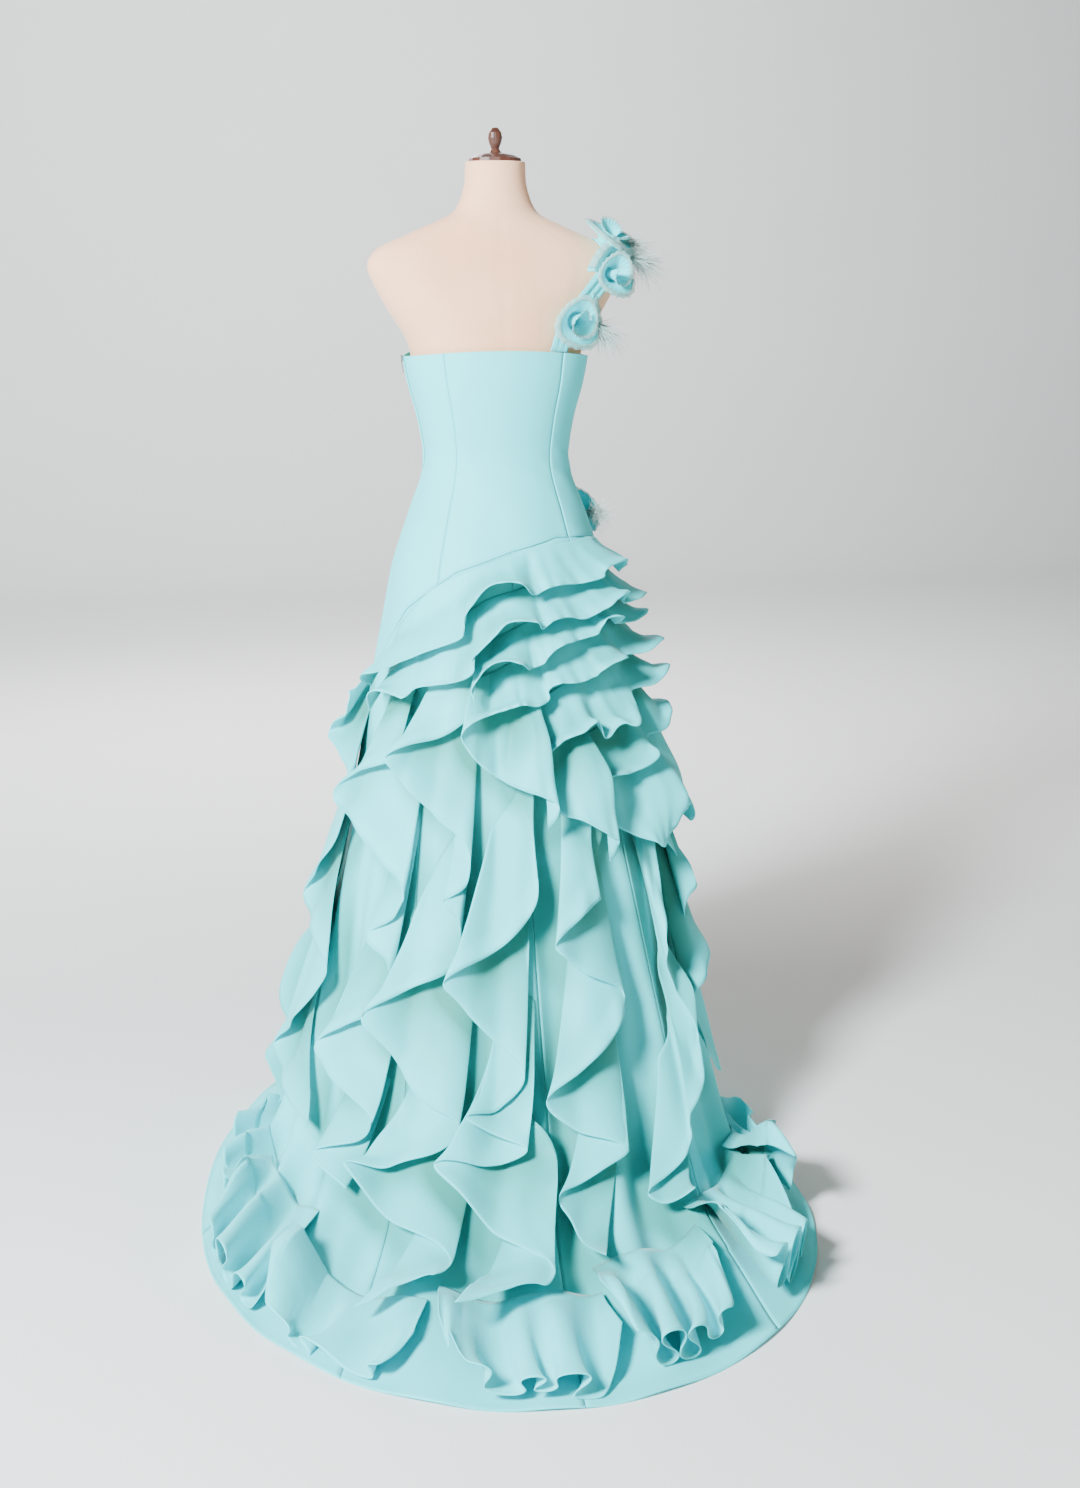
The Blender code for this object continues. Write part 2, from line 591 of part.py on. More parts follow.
def meander(along, loops, swing):
    """A curve whose heading is swing * sin(2 pi * length): its share of the width run so far
    and its height, both for a whole width of one."""
    fine = np.linspace(0, loops, 400 * loops + 1)
    heading = swing * np.sin(2 * np.pi * fine)
    x = np.concatenate([[0], np.cumsum(np.cos(heading))])[:-1]
    y = np.concatenate([[0], np.cumsum(np.sin(heading))])[:-1]
    return np.interp(along, fine, x / x[-1]), np.interp(along, fine, y / x[-1])


def flounces():
    """Laid from the lowest to the one on top."""
    pile = Pile()
    for name, sizes in TRAIN_CURLS.items():
        curl(name, *sizes, pile)
    for name, (root_turn, hem) in list(CASCADES.items())[:5]:
        flounce(name, cascade_rows(root_turn, hem), pile, rise=0.8, deep=3)
    for name, sizes in FRONT_CASCADES.items():
        flounce(name, front_cascade_rows(*sizes), pile, rise=0.8, deep=3)
    for name in ("front_tier_4", "front_tier_3", "front_tier_2", "front_tier_1"):
        flounce(name, front_tier_rows(*FRONT_TIERS[name]), pile, parts=1)
    flounce("tier_6", TIERS["tier_6"], pile)
    root_turn, hem = CASCADES["cascade_back_right"]
    flounce("cascade_back_right", cascade_rows(root_turn, hem), pile, rise=0.8, deep=3)
    flounce("tier_5", TIERS["tier_5"], pile)
    root_turn, hem = CASCADES["cascade_back"]
    flounce("cascade_back", cascade_rows(root_turn, hem), pile, rise=0.8, deep=3)
    for name in ("tier_4", "tier_3", "tier_2", "tier_1"):
        flounce(name, TIERS[name], pile)


def form_skin(turn, row):
    """The form's surface: an ellipse at each height, deeper behind or in front."""
    angle = np.radians(turn)
    z, half, back, front = np.moveaxis(smooth_rows(FORM_VALUES, row), -1, 0)
    c = np.cos(angle)
    return np.stack([half * np.sin(angle), np.where(c > 0, back, front) * c, z + 0 * c], -1)


def form_torso():
    """Rings joined up the body and closed flat at the cut and at the top of the neck."""
    sides, rows = 28, 26
    turn = np.linspace(0, 360, sides, endpoint=False)[None, :]
    row = np.linspace(0, len(FORM) - 1, rows)[:, None]
    points = form_skin(turn + 0 * row, row + 0 * turn)
    rings = bmesh.new()
    loops = [[rings.verts.new(point) for point in ring] for ring in points]
    for low, high in zip(loops, loops[1:]):
        for k in range(sides):
            n = (k + 1) % sides
            rings.faces.new((low[n], low[k], high[k], high[n]))
    rings.faces.new(loops[0])
    rings.faces.new(reversed(loops[-1]))
    bmesh.ops.recalc_face_normals(rings, faces=rings.faces)
    mesh = bpy.data.meshes.new("form_torso")
    rings.to_mesh(mesh)
    rings.free()
    thing = bpy.data.objects.new("form_torso", mesh)
    bpy.data.collections[PARTS].objects.link(thing)
    return finish(thing, LINEN)


def turned(name, profile, finish_of, steps=28):
    """A profile of radius and height pairs, run top to bottom, turned about the upright."""
    mesh = bpy.data.meshes.new(name)
    points = [(radius, 0.0, height) for radius, height in profile]
    mesh.from_pydata(points, [(i, i + 1) for i in range(len(points) - 1)], [])
    thing = bpy.data.objects.new(name, mesh)
    bpy.data.collections[PARTS].objects.link(thing)
    screw = thing.modifiers.new("turn", "SCREW")
    screw.steps = screw.render_steps = steps
    screw.use_merge_vertices = True
    screw.merge_threshold = 0.00001
    return finish(thing, finish_of)


POLE_RADIUS = 0.0125
BASE_RADIUS = 0.165
BASE_HIGH = 0.016
HUB_HIGH = 0.060


def stand():
    cut, top = FORM[0][1], FORM[-1][1]
    turned("stand_base", [(0, HUB_HIGH), (0.020, HUB_HIGH), (0.024, 0.034), (0.070, 0.022),
                          (BASE_RADIUS - 0.006, BASE_HIGH), (BASE_RADIUS, 0.010),
                          (BASE_RADIUS, 0), (0, 0)], METAL, 24)
    turned("stand_pole", [(0, cut - SEAM), (POLE_RADIUS, cut - SEAM),
                          (POLE_RADIUS, HUB_HIGH + SEAM), (0, HUB_HIGH + SEAM)], METAL, 16)
    low = top + SEAM
    turned("neck_cap", [(0, low + 0.052), (0.005, low + 0.051), (0.010, low + 0.044),
                        (0.0115, low + 0.036), (0.009, low + 0.027), (0.006, low + 0.020),
                        (0.010, low + 0.014), (0.030, low + 0.010), (0.041, low + 0.005),
                        (0.042, low), (0, low)], WOOD, 16)


# The strap's middle line over the right shoulder: turn, row of FORM
STRAP_LINE = np.array([
    (-36, 8.15), (-46, 9.1), (-56, 10.3), (-64, 11.5), (-78, 12.35), (-102, 12.35),
    (-116, 11.5), (-124, 10.3), (-134, 9.1), (-142, 8.3),
])
STRAP_HALF = 0.016
STRAP_SEAMS = [("back", -36, -7.0), ("front", -142, 6.8)]


def strap_frame(share):
    """Middle, across and out directions of the strap at shares of its length."""
    at = np.asarray(share, float) * (len(STRAP_LINE) - 1)
    turn, row = np.moveaxis(smooth_rows(STRAP_LINE, at), -1, 0)
    middle = form_skin(turn, row)
    step = 0.02
    ahead = smooth_rows(STRAP_LINE, at + step) - smooth_rows(STRAP_LINE, at - step)
    ahead_turn, ahead_row = np.moveaxis(ahead, -1, 0)
    along = form_skin(turn + ahead_turn, row + ahead_row) - form_skin(turn - ahead_turn,
                                                                     row - ahead_row)
    round_it = form_skin(turn + 0.5, row) - form_skin(turn - 0.5, row)
    up = form_skin(turn, row + 0.05) - form_skin(turn, row - 0.05)
    out = np.cross(round_it, -up)
    along /= np.linalg.norm(along, axis=-1, keepdims=True)
    out /= np.linalg.norm(out, axis=-1, keepdims=True)
    across = np.cross(along, out)
    return middle, across, out


def faces_of(*names):
    """A search tree over the finished faces of some of the parts."""
    bpy.context.view_layer.update()
    graph = bpy.context.evaluated_depsgraph_get()
    points, faces = [], []
    for name in names:
        mesh = bpy.data.objects[name].evaluated_get(graph).to_mesh()
        faces += [[len(points) + k for k in face.vertices] for face in mesh.polygons]
        points += [vert.co.copy() for vert in mesh.vertices]
    return BVHTree.FromPolygons(points, faces)


def gap_under(tree, point, out):
    """How far a point stands out from the faces straight below it."""
    far = 0.08
    start = Vector(point) + Vector(out) * far
    hit = tree.ray_cast(start, -Vector(out), 2 * far)[0]
    return 1.0 if hit is None else (start - hit).length - far


def strap_points(share, clear):
    middle, across, out = strap_frame(share)
    width = np.array([-1.0, -0.33, 0.33, 1.0]) * STRAP_HALF
    side = across[:, None, :] * width[None, :, None]
    return middle[:, None, :] + side + (out * clear[:, None])[:, None, :], out


def strap():
    """A flat band along the form, raised at each place just enough to clear it."""
    form = faces_of("form_torso")
    share = np.linspace(0, 1, 19)
    clear = np.zeros(len(share))
    for _ in range(3):
        points, out = strap_points(share, clear)
        for k in range(len(share) - 1):
            short = 0.0
            for f in (0, 0.25, 0.5, 0.75, 1):
                line = points[k] * (1 - f) + points[k + 1] * f
                for a, b in zip(line, line[1:]):
                    for spot in (a, (a + b) / 2, b):
                        short = max(short, 2 * SEAM - gap_under(form, spot, out[k]))
            clear[k:k + 2] += short
    points, _ = strap_points(share, clear)
    back, front = [skin(turn + step * np.array([-1.0, -0.33, 0.33, 1.0]), 0)
                   + (0, 0, 1.5 * SEAM) for _, turn, step in STRAP_SEAMS]
    points = np.concatenate([back[None], points, front[None]])
    return cloth("shoulder_strap", points[::-1])


def seat(thing, out, carriers):
    """Move a piece along one direction until it just clears what carries it."""
    bpy.context.view_layer.update()
    graph = bpy.context.evaluated_depsgraph_get()
    below, own = faces_of(*carriers), faces_of(thing.name)

    def spots(name):
        mesh = bpy.data.objects[name].evaluated_get(graph).to_mesh()
        for edge in mesh.edges:
            ends = [mesh.vertices[k].co for k in edge.vertices]
            yield from (ends[0], ends[1], (ends[0] + ends[1]) / 2)
        yield from (face.center for face in mesh.polygons)

    gap = min(gap_under(below, spot, out) for spot in spots(thing.name))
    for name in carriers:
        gap = min([gap] + [gap_under(own, spot, -out) for spot in spots(name)])
    thing.location = Vector(out * (1.5 * SEAM - gap))


def rosette(name, centre, across, out, radius, high, carriers, turns=1.7):
    """A strip wound into a rose: a spiral whose foot stays small and whose rim flares."""
    along = np.cross(out, across)
    columns, deep = 18, 2
    share = np.linspace(0, 1, columns + 1)[:, None]
    v = np.linspace(0, 1, deep + 1)[None, :]
    angle = 2 * np.pi * turns * share
    foot = radius * (0.10 + 0.26 * share)
    rim = radius * (0.26 + 0.74 * share)
    wave = 1 + 0.10 * np.sin(5 * angle / turns)
    reach = (foot + (rim - foot) * v**1.5) * (1 + (wave - 1) * v)
    rise = high * v * (1 - 0.55 * share * v)
    points = (centre + across * (reach * np.cos(angle))[..., None]
              + along * (reach * np.sin(angle))[..., None] + out * rise[..., None])
    thing = cloth(name, points, 0.0015)
    seat(thing, out, carriers)


def tuft(name, root, out_along, side, up, length, thick, carriers):
    """A closed feather tuft: a long ball with an uneven surface, its end at the root."""
    ball = bmesh.new()
    bmesh.ops.create_icosphere(ball, subdivisions=2, radius=0.5)
    for vert in ball.verts:
        x, y, z = vert.co
        rough = 1 + 0.14 * math.sin(9 * x + 4 * y) * math.cos(7 * z + 5 * y)
        vert.co = (root + out_along * (0.5 + x) * length + side * y * rough * thick * 1.6
                   + up * (z * rough + 0.1 * x) * thick)
    mesh = bpy.data.meshes.new(name)
    ball.to_mesh(mesh)
    ball.free()
    thing = bpy.data.objects.new(name, mesh)
    bpy.data.collections[PARTS].objects.link(thing)
    finish(thing, FEATHER, smooth=False)
    seat(thing, up, carriers)


def trim():
    """Rosettes and feather tufts on the strap and the right hip."""
    for name, share, radius, high in ROSETTES:
        middle, across, out = strap_frame(np.array([share]))
        rosette(name, middle[0], across[0], out[0], radius, high, ["shoulder_strap"])
    for name, share, length, thick in TUFTS:
        middle, across, out = strap_frame(np.array([share]))
        root = middle[0] + across[0] * (STRAP_HALF - 0.004)
        tuft(name, root, across[0], np.cross(out[0], across[0]), out[0], length, thick,
             ["shoulder_strap", "form_torso", "bodice_side_back_right"])
    spot = (np.array([HIP_ROSETTE_TURN]), np.array([HIP_ROSETTE_STATION]))
    out = outward(*spot)[0]
    across = skin(spot[0] + 1, spot[1])[0] - skin(spot[0] - 1, spot[1])[0]
    across /= np.linalg.norm(across)
    base = skin(*spot)[0]
    rosette("rosette_hip", base, across, out, HIP_ROSETTE_RADIUS, 0.036,
            ["bodice_side_front_right", "bodice_side_back_right", "front_tier_1"])
    root = base + across * (0.42 * HIP_ROSETTE_RADIUS)
    tuft("tuft_hip", root, across, np.cross(out, across), out, 0.062, 0.016,
         ["bodice_side_front_right", "bodice_side_back_right", "front_tier_1", "tier_1"])


def side_zip():
    """A narrow tape over the left side seam."""
    half_turn = np.array([-1.9, 0.0, 1.9])[:, None]
    share = np.arange(ZIP_ROWS + 1)[None, :] / BODICE_ROWS
    turn = ZIP_TURN + half_turn + 0 * share
    station = np.maximum(diagonal(turn) * share, 0.04)
    return cloth("side_zip", place(turn, station, 0 * turn + WALL + 2 * SEAM), 0.0012)


clear_scene()
form_torso()
stand()
bodice_panels()
side_zip()
skirt_gores()
flounces()
strap()
trim()
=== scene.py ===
"""The look of a one-strap mermaid prom gown with ruffles, on its linen dress form.

Metres, +Z up; the gown's back and train face +Y, the wearer's left is +X. Cloth is placed by
turn (degrees round the body, 0 centre back, 90 the wearer's left), station (row of RINGS, 0 at
the top edge, 14 at the hem) and lift (distance out from the skin of the underskirt).
"""

import math

import bpy
import numpy as np
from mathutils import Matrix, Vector

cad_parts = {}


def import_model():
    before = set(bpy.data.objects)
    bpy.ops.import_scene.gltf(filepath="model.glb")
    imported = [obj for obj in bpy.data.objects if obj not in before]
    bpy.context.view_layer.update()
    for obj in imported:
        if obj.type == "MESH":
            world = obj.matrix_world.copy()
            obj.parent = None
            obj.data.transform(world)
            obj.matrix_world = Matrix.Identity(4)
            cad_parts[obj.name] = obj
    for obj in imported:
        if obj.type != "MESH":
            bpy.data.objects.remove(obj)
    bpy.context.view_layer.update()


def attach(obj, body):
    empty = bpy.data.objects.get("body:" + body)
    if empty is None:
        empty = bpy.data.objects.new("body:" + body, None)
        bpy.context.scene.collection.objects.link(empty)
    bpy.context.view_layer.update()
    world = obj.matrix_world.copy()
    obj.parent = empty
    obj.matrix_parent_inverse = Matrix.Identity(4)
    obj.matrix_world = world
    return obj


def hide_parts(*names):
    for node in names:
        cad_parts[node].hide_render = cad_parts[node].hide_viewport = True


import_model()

SEAM = 0.0003
CLEAR = 0.0055
HEM_STATION = 14.0
BODICE_WALL, GORE_WALL, FLOUNCE_WALL = 0.0014, 0.0016, 0.0012
TRIM_WALL, ORGANZA_WALL = 0.0009, 0.0003
FLUTE_DEPTH, FINE_FLUTE_DEPTH, RIPPLE_HEIGHT = 0.026, 0.005, 0.0022
HEM_FOLD, STITCHES_PER_METRE = 0.0065, 340.0
LINEN_THREADS, ORGANZA_THREADS = 5200.0, 9000.0
# The least side of a sheet, and its least share of its two sides multiplied
LEAST_SIDE, LEAST_SHARE = 0.011, 0.301

# name, z_side, z_back, z_front, half_width, back, front, centre_y, centre_x
RINGS = [
    ("top edge",  1.272, 1.281, 1.300, 0.147, 0.094, 0.112, 0.000, 0.000),
    ("bust",      1.230, 1.230, 1.230, 0.139, 0.094, 0.128, 0.000, 0.000),
    ("rib",       1.165, 1.165, 1.165, 0.122, 0.088, 0.104, 0.000, 0.000),
    ("waist",     1.100, 1.100, 1.100, 0.117, 0.084, 0.092, 0.000, 0.000),
    ("high hip",  1.020, 1.020, 1.020, 0.144, 0.108, 0.108, 0.000, 0.000),
    ("hip",       0.940, 0.940, 0.940, 0.171, 0.133, 0.124, 0.000, 0.000),
    ("seat",      0.850, 0.850, 0.850, 0.188, 0.157, 0.140, 0.000, 0.000),
    ("thigh",     0.740, 0.740, 0.740, 0.210, 0.184, 0.158, 0.000, 0.000),
    ("over knee", 0.600, 0.600, 0.600, 0.235, 0.226, 0.184, 0.004, 0.000),
    ("knee",      0.440, 0.440, 0.440, 0.262, 0.284, 0.214, 0.018, 0.000),
    ("calf",      0.270, 0.270, 0.270, 0.290, 0.362, 0.243, 0.045, 0.003),
    ("ankle",     0.115, 0.125, 0.115, 0.318, 0.460, 0.270, 0.095, 0.010),
    ("turn",      0.022, 0.036, 0.018, 0.350, 0.585, 0.292, 0.170, 0.025),
    ("sweep",     0.000, 0.000, 0.000, 0.402, 0.770, 0.316, 0.290, 0.045),
    ("hem",       0.000, 0.000, 0.000, 0.460, 0.970, 0.345, 0.420, 0.064),
]

# The diagonal seam under the bodice: turn, station
DIAGONAL = [
    (-180, 5.10), (-150, 4.80), (-120, 4.60), (-90, 4.52), (-60, 4.42), (-30, 4.38),
    (0, 4.62), (30, 5.00), (60, 5.70), (90, 6.90), (120, 6.50), (150, 5.70), (180, 5.10),
]

# Sections of the form, bottom to top: name, z, half_width, back, front
FORM = [
    ("cut",       0.775, 0.150, 0.118, 0.110),
    ("thigh",     0.805, 0.172, 0.140, 0.126),
    ("seat",      0.880, 0.172, 0.138, 0.126),
    ("hip",       0.940, 0.162, 0.124, 0.116),
    ("high hip",  1.020, 0.138, 0.102, 0.102),
    ("waist",     1.100, 0.111, 0.078, 0.086),
    ("rib",       1.165, 0.116, 0.082, 0.098),
    ("bust",      1.230, 0.133, 0.088, 0.121),
    ("chest",     1.290, 0.141, 0.087, 0.101),
    ("armhole",   1.345, 0.174, 0.083, 0.084),
    ("shoulder",  1.385, 0.196, 0.075, 0.070),
    ("stump",     1.412, 0.204, 0.066, 0.060),
    ("slope out", 1.436, 0.188, 0.056, 0.050),
    ("slope mid", 1.456, 0.146, 0.050, 0.046),
    ("slope in",  1.475, 0.102, 0.047, 0.046),
    ("nape",      1.494, 0.066, 0.045, 0.048),
    ("neck",      1.530, 0.050, 0.044, 0.049),
    ("neck top",  1.568, 0.047, 0.043, 0.046),
]

# Tiers from the right hip to the left: the sewn line as turn, station, and the hem from fold to
# fold, where a turn that runs back is a fold tucked under: turn, station, lift in mm
TIERS = {
    "tier_1": ([(-94, 4.55), (-56, 4.45), (-11, 4.55), (16, 4.85), (42, 5.25), (71, 6.20)], [
        (-94, 5.15, 22), (-76, 5.15, 24), (-62, 5.20, 16), (-67, 5.10, 36), (-48, 5.10, 30),
        (-42, 5.25, 22), (-32, 5.30, 16), (-22, 5.30, 22), (-14, 5.35, 24), (-8, 5.45, 16),
        (-2, 5.40, 40), (4, 5.35, 44), (12, 5.40, 42), (18, 5.60, 34), (22, 5.80, 26),
        (22, 6.05, 16), (24, 6.15, 12), (35, 6.30, 12), (47, 6.50, 14), (53, 6.65, 22),
        (60, 6.80, 34), (66, 6.90, 18),
    ]),
    "tier_2": ([(-94, 5.05), (-54, 5.00), (-12, 5.20), (13, 5.45), (37, 6.00), (66, 6.65)], [
        (-94, 5.75, 26), (-78, 5.75, 34), (-66, 5.75, 26), (-58, 5.75, 18), (-53, 5.65, 42),
        (-44, 5.70, 36), (-37, 5.80, 24), (-30, 5.90, 16), (-21, 5.85, 24), (-14, 5.90, 28),
        (-10, 6.00, 18), (-6, 6.00, 40), (4, 6.00, 44), (10, 6.15, 36), (15, 6.30, 28),
        (18, 6.45, 20), (17, 6.60, 14), (20, 6.70, 14), (26, 6.75, 16), (34, 6.80, 16),
        (40, 6.85, 20), (44, 7.00, 30), (48, 7.00, 34), (56, 7.05, 44), (62, 7.20, 24),
    ]),
    "tier_3": ([(-94, 5.55), (-52, 5.45), (-9, 5.80), (14, 6.15), (22, 6.35)], [
        (-94, 6.15, 28), (-80, 6.10, 40), (-66, 6.10, 28), (-52, 6.05, 18), (-48, 6.05, 42),
        (-41, 6.00, 36), (-36, 6.15, 24), (-28, 6.20, 18), (-20, 6.25, 30), (-13, 6.35, 28),
        (-9, 6.50, 20), (-5, 6.55, 16), (0, 6.60, 40), (6, 6.55, 44), (12, 6.60, 40),
        (16, 6.75, 34), (18, 6.85, 24), (17, 7.00, 14),
    ]),
    "tier_4": ([(-95, 6.00), (-62, 6.00), (-17, 6.20), (0, 6.40), (22, 6.75)], [
        (-95, 6.60, 28), (-79, 6.60, 48), (-66, 6.60, 32), (-55, 6.55, 18), (-45, 6.65, 42),
        (-35, 6.70, 36), (-31, 6.75, 26), (-24, 6.80, 22), (-16, 6.80, 30), (-11, 6.85, 26),
        (-10, 7.00, 18), (-2, 7.10, 36), (2, 7.15, 44), (7, 7.20, 46), (12, 7.25, 44),
        (18, 7.35, 42), (21, 7.50, 40), (16, 7.70, 34), (9, 7.85, 32), (2, 8.00, 34),
        (-4, 8.10, 36), (-8, 8.20, 34), (-5, 8.35, 22),
    ]),
    "tier_5": ([(-95, 6.45), (-51, 6.50), (-24, 6.75), (-5, 7.00)], [
        (-95, 7.10, 30), (-80, 7.00, 54), (-66, 7.05, 36), (-53, 7.05, 18), (-42, 7.50, 44),
        (-36, 7.45, 40), (-31, 7.50, 26), (-26, 7.40, 44), (-20, 7.50, 44), (-14, 7.55, 42),
        (-9, 7.65, 40), (-5, 7.80, 36), (-6, 7.95, 30), (-10, 8.20, 28), (-16, 8.30, 30),
        (-24, 8.50, 34), (-28, 8.60, 34), (-25, 8.70, 20),
    ]),
    "tier_6": ([(-96, 6.85), (-68, 6.95), (-44, 7.30), (-26, 7.45)], [
        (-96, 7.50, 30), (-78, 7.45, 58), (-68, 7.60, 40), (-56, 7.60, 22), (-49, 7.90, 46),
        (-40, 8.00, 44), (-30, 8.00, 42), (-26, 8.10, 36), (-28, 8.30, 28), (-34, 8.45, 30),
        (-42, 8.65, 34), (-47, 8.70, 26), (-51, 8.60, 20), (-56, 8.50, 42), (-62, 8.50, 24),
        (-69, 8.55, 46), (-75, 8.75, 44), (-82, 8.40, 26),
    ]),
}

# Cascades: an upright root line at root_turn, and the hem's tips and hollows down it:
# hem_turn, hem_station, lift in mm
CASCADES = {
    "cascade_side_left": (104, [
        (84, 7.10, 14), (86, 7.40, 26), (95, 7.74, 46), (82, 7.86, 30), (70, 8.10, 16),
        (76, 8.74, 16), (94, 9.40, 42), (80, 9.62, 24), (70, 9.86, 16), (78, 10.30, 18),
        (95, 10.96, 46), (80, 11.20, 28), (68, 11.40, 16),
    ]),
    "cascade_left": (36, [
        (48, 7.74, 28), (60, 7.92, 40), (67, 8.22, 54), (64, 8.42, 42), (51, 8.70, 30),
        (41, 8.94, 18), (43, 9.20, 16), (52, 9.42, 34), (44, 9.62, 18), (45, 9.98, 26),
        (55, 10.30, 42), (62, 10.54, 54), (57, 10.76, 40), (46, 11.00, 20), (48, 11.30, 28),
        (62, 11.74, 34), (50, 12.00, 18),
    ]),
    "cascade_left_back": (13, [
        (20, 7.24, 12), (30, 7.44, 26), (45, 7.74, 50), (42, 7.94, 38), (30, 8.26, 28),
        (20, 8.52, 16), (20, 8.86, 16), (27, 9.04, 34), (22, 9.20, 18), (24, 9.58, 26),
        (37, 9.90, 46), (45, 10.18, 60), (39, 10.42, 44), (32, 10.72, 32), (22, 10.96, 20),
        (25, 11.26, 26), (38, 11.60, 40), (48, 11.84, 46), (38, 12.20, 30), (24, 12.50, 20),
        (24, 12.90, 24), (33, 13.20, 30), (40, 13.44, 24),
    ]),
    "cascade_right": (-84, [
        (-66, 8.16, 24), (-58, 8.38, 54), (-56, 8.60, 30), (-66, 9.00, 22), (-64, 9.28, 52),
        (-60, 9.44, 26), (-70, 9.80, 22), (-57, 10.06, 58), (-50, 10.24, 34), (-56, 10.50, 24),
        (-52, 10.74, 44), (-62, 11.00, 20),
    ]),
    "cascade_right_back": (-56, [
        (-52, 8.30, 12), (-46, 9.10, 18), (-40, 9.58, 44), (-41, 9.82, 24), (-47, 10.46, 20),
        (-44, 10.98, 44), (-38, 11.20, 26), (-37, 11.46, 18), (-33, 11.76, 36), (-23, 11.96, 24),
        (-34, 12.30, 16),
    ]),
    "cascade_back_right": (-31, [
        (-20, 9.06, 30), (-12, 9.26, 44), (-4, 9.48, 50), (-12, 9.66, 36), (-24, 9.88, 28),
        (-18, 10.26, 40), (-8, 10.56, 46), (1, 10.78, 38), (-5, 11.02, 26), (-18, 11.36, 22),
        (-11, 11.60, 36), (-1, 11.84, 34), (-4, 12.20, 22), (-8, 12.86, 16),
    ]),
    "cascade_back": (-6, [
        (-1, 8.74, 20), (0, 9.04, 22), (9, 9.42, 42), (24, 9.76, 54), (19, 9.98, 36),
        (6, 10.46, 26), (12, 10.80, 36), (19, 11.02, 44), (6, 11.24, 20), (15, 11.42, 34),
        (26, 11.64, 48), (15, 12.16, 32), (3, 12.58, 24), (3, 12.92, 26), (11, 13.20, 40),
        (21, 13.40, 28),
    ]),
}

# Curled ends of the lowest flounce: turn from, turn to, root_station, hem_station, height in mm,
# how far in degrees of turn the loops' tops fall over, and the loops along the hem, up and down
# in turn: length, swing in degrees
TRAIN_CURLS = {
    "train_curl_1": (117, 86, 12.35, 13.45, 52, 2.4,
                     [(1.4, 60), (1.2, 104), (2.0, 80), (1.0, 108), (1.5, 96), (0.9, 60)]),
    "train_curl_2": (89, 58, 12.40, 13.84, 70, -2.6,
                     [(0.8, 60), (1.7, 112), (1.1, 116), (1.9, 114), (0.9, 98), (1.3, 112),
                      (0.8, 60)]),
    "train_curl_3": (59, 27, 13.00, 13.88, 38, 2.6,
                     [(1.1, 60), (2.3, 112), (1.2, 116), (1.9, 70), (1.2, 98), (0.8, 60)]),
    "train_curl_4": (25, -8, 12.80, 13.88, 60, -2.0,
                     [(1.1, 104), (2.6, 98), (1.0, 116), (1.3, 114), (0.9, 108), (2.3, 110),
                      (1.1, 80)]),
    "train_curl_5": (-7, -35, 12.50, 13.72, 64, 2.2,
                     [(0.8, 60), (1.3, 112), (1.6, 122), (1.4, 120), (1.5, 118), (0.8, 96),
                      (1.2, 108), (0.8, 60)]),
    "train_curl_6": (-34, -65, 12.20, 13.70, 96, -3.2,
                     [(0.8, 50), (1.7, 110), (1.0, 108), (2.0, 116), (1.0, 104), (1.4, 110),
                      (0.8, 60)]),
    "train_curl_7": (-62, -94, 11.90, 13.44, 74, 2.8,
                     [(1.0, 60), (1.8, 110), (1.0, 104), (1.7, 108), (1.0, 70)]),
}

# Tiers that go on round the front: root_station at the right hip, centre front and left side,
# hem drop at the right and left
FRONT_FROM, FRONT_TO, FRONT_WAVES = -97.0, -252.0, 6
FRONT_TIERS = {
    "front_tier_1": (4.58, 5.14, 6.86, 0.62, 0.92),
    "front_tier_2": (5.08, 5.90, 8.10, 0.66, 1.20),
    "front_tier_3": (5.58, 6.90, 9.50, 0.70, 1.40),
    "front_tier_4": (6.04, 7.90, 10.9, 1.00, 1.30),
}
# Front cascades: root_turn, first station, last station, tips
FRONT_CASCADES = {
    "front_cascade_1": (-108, 7.50, 12.3, 4),
    "front_cascade_2": (-137, 8.15, 12.5, 4),
    "front_cascade_3": (-164, 8.80, 12.5, 3),
    "front_cascade_4": (-192, 9.50, 12.6, 3),
    "front_cascade_5": (-220, 10.2, 12.6, 2),
}

# The strap's middle line over the right shoulder: turn, row of FORM
STRAP_LINE = np.array([
    (-36, 8.15), (-46, 9.1), (-56, 10.3), (-64, 11.5), (-78, 12.35), (-102, 12.35),
    (-116, 11.5), (-124, 10.3), (-134, 9.1), (-142, 8.3),
])
STRAP_HALF = 0.016
# Where the strap meets the bodice's rim: which end, turn, half its width in degrees
STRAP_SEAMS = [(0, -36, -7.0), (-1, -142, 6.8)]
# name, place along the strap 0 to 1, radius, height
ROSETTES = [
    ("rosette_1", 0.07, 0.051, 0.038),
    ("rosette_2", 0.24, 0.050, 0.040),
    ("rosette_3", 0.43, 0.049, 0.038),
]
# name, place along the strap, length, thickness
TUFTS = [
    ("tuft_1", 0.10, 0.072, 0.018),
    ("tuft_2", 0.33, 0.072, 0.018),
    ("tuft_3", 0.50, 0.066, 0.018),
]
STRANDS, STRAND_RADIUS = 330, 0.00045
ROSETTE_TURNS = 2.1
HIP_ROSETTE_TURN, HIP_ROSETTE_STATION, HIP_ROSETTE_RADIUS = -112.0, 4.10, 0.045
# The zip's turn and first and last stations; its pieces' sizes across, along and out from it
ZIP_TURN, ZIP_FROM, ZIP_TO, ZIP_TEETH = 90, 0.075, 2.95, 76
TOOTH, SLIDER, PULL = (0.0030, 0.0014, 0.0012), (0.0068, 0.0095, 0.0030), (0.0042, 0.0200, 0.0010)

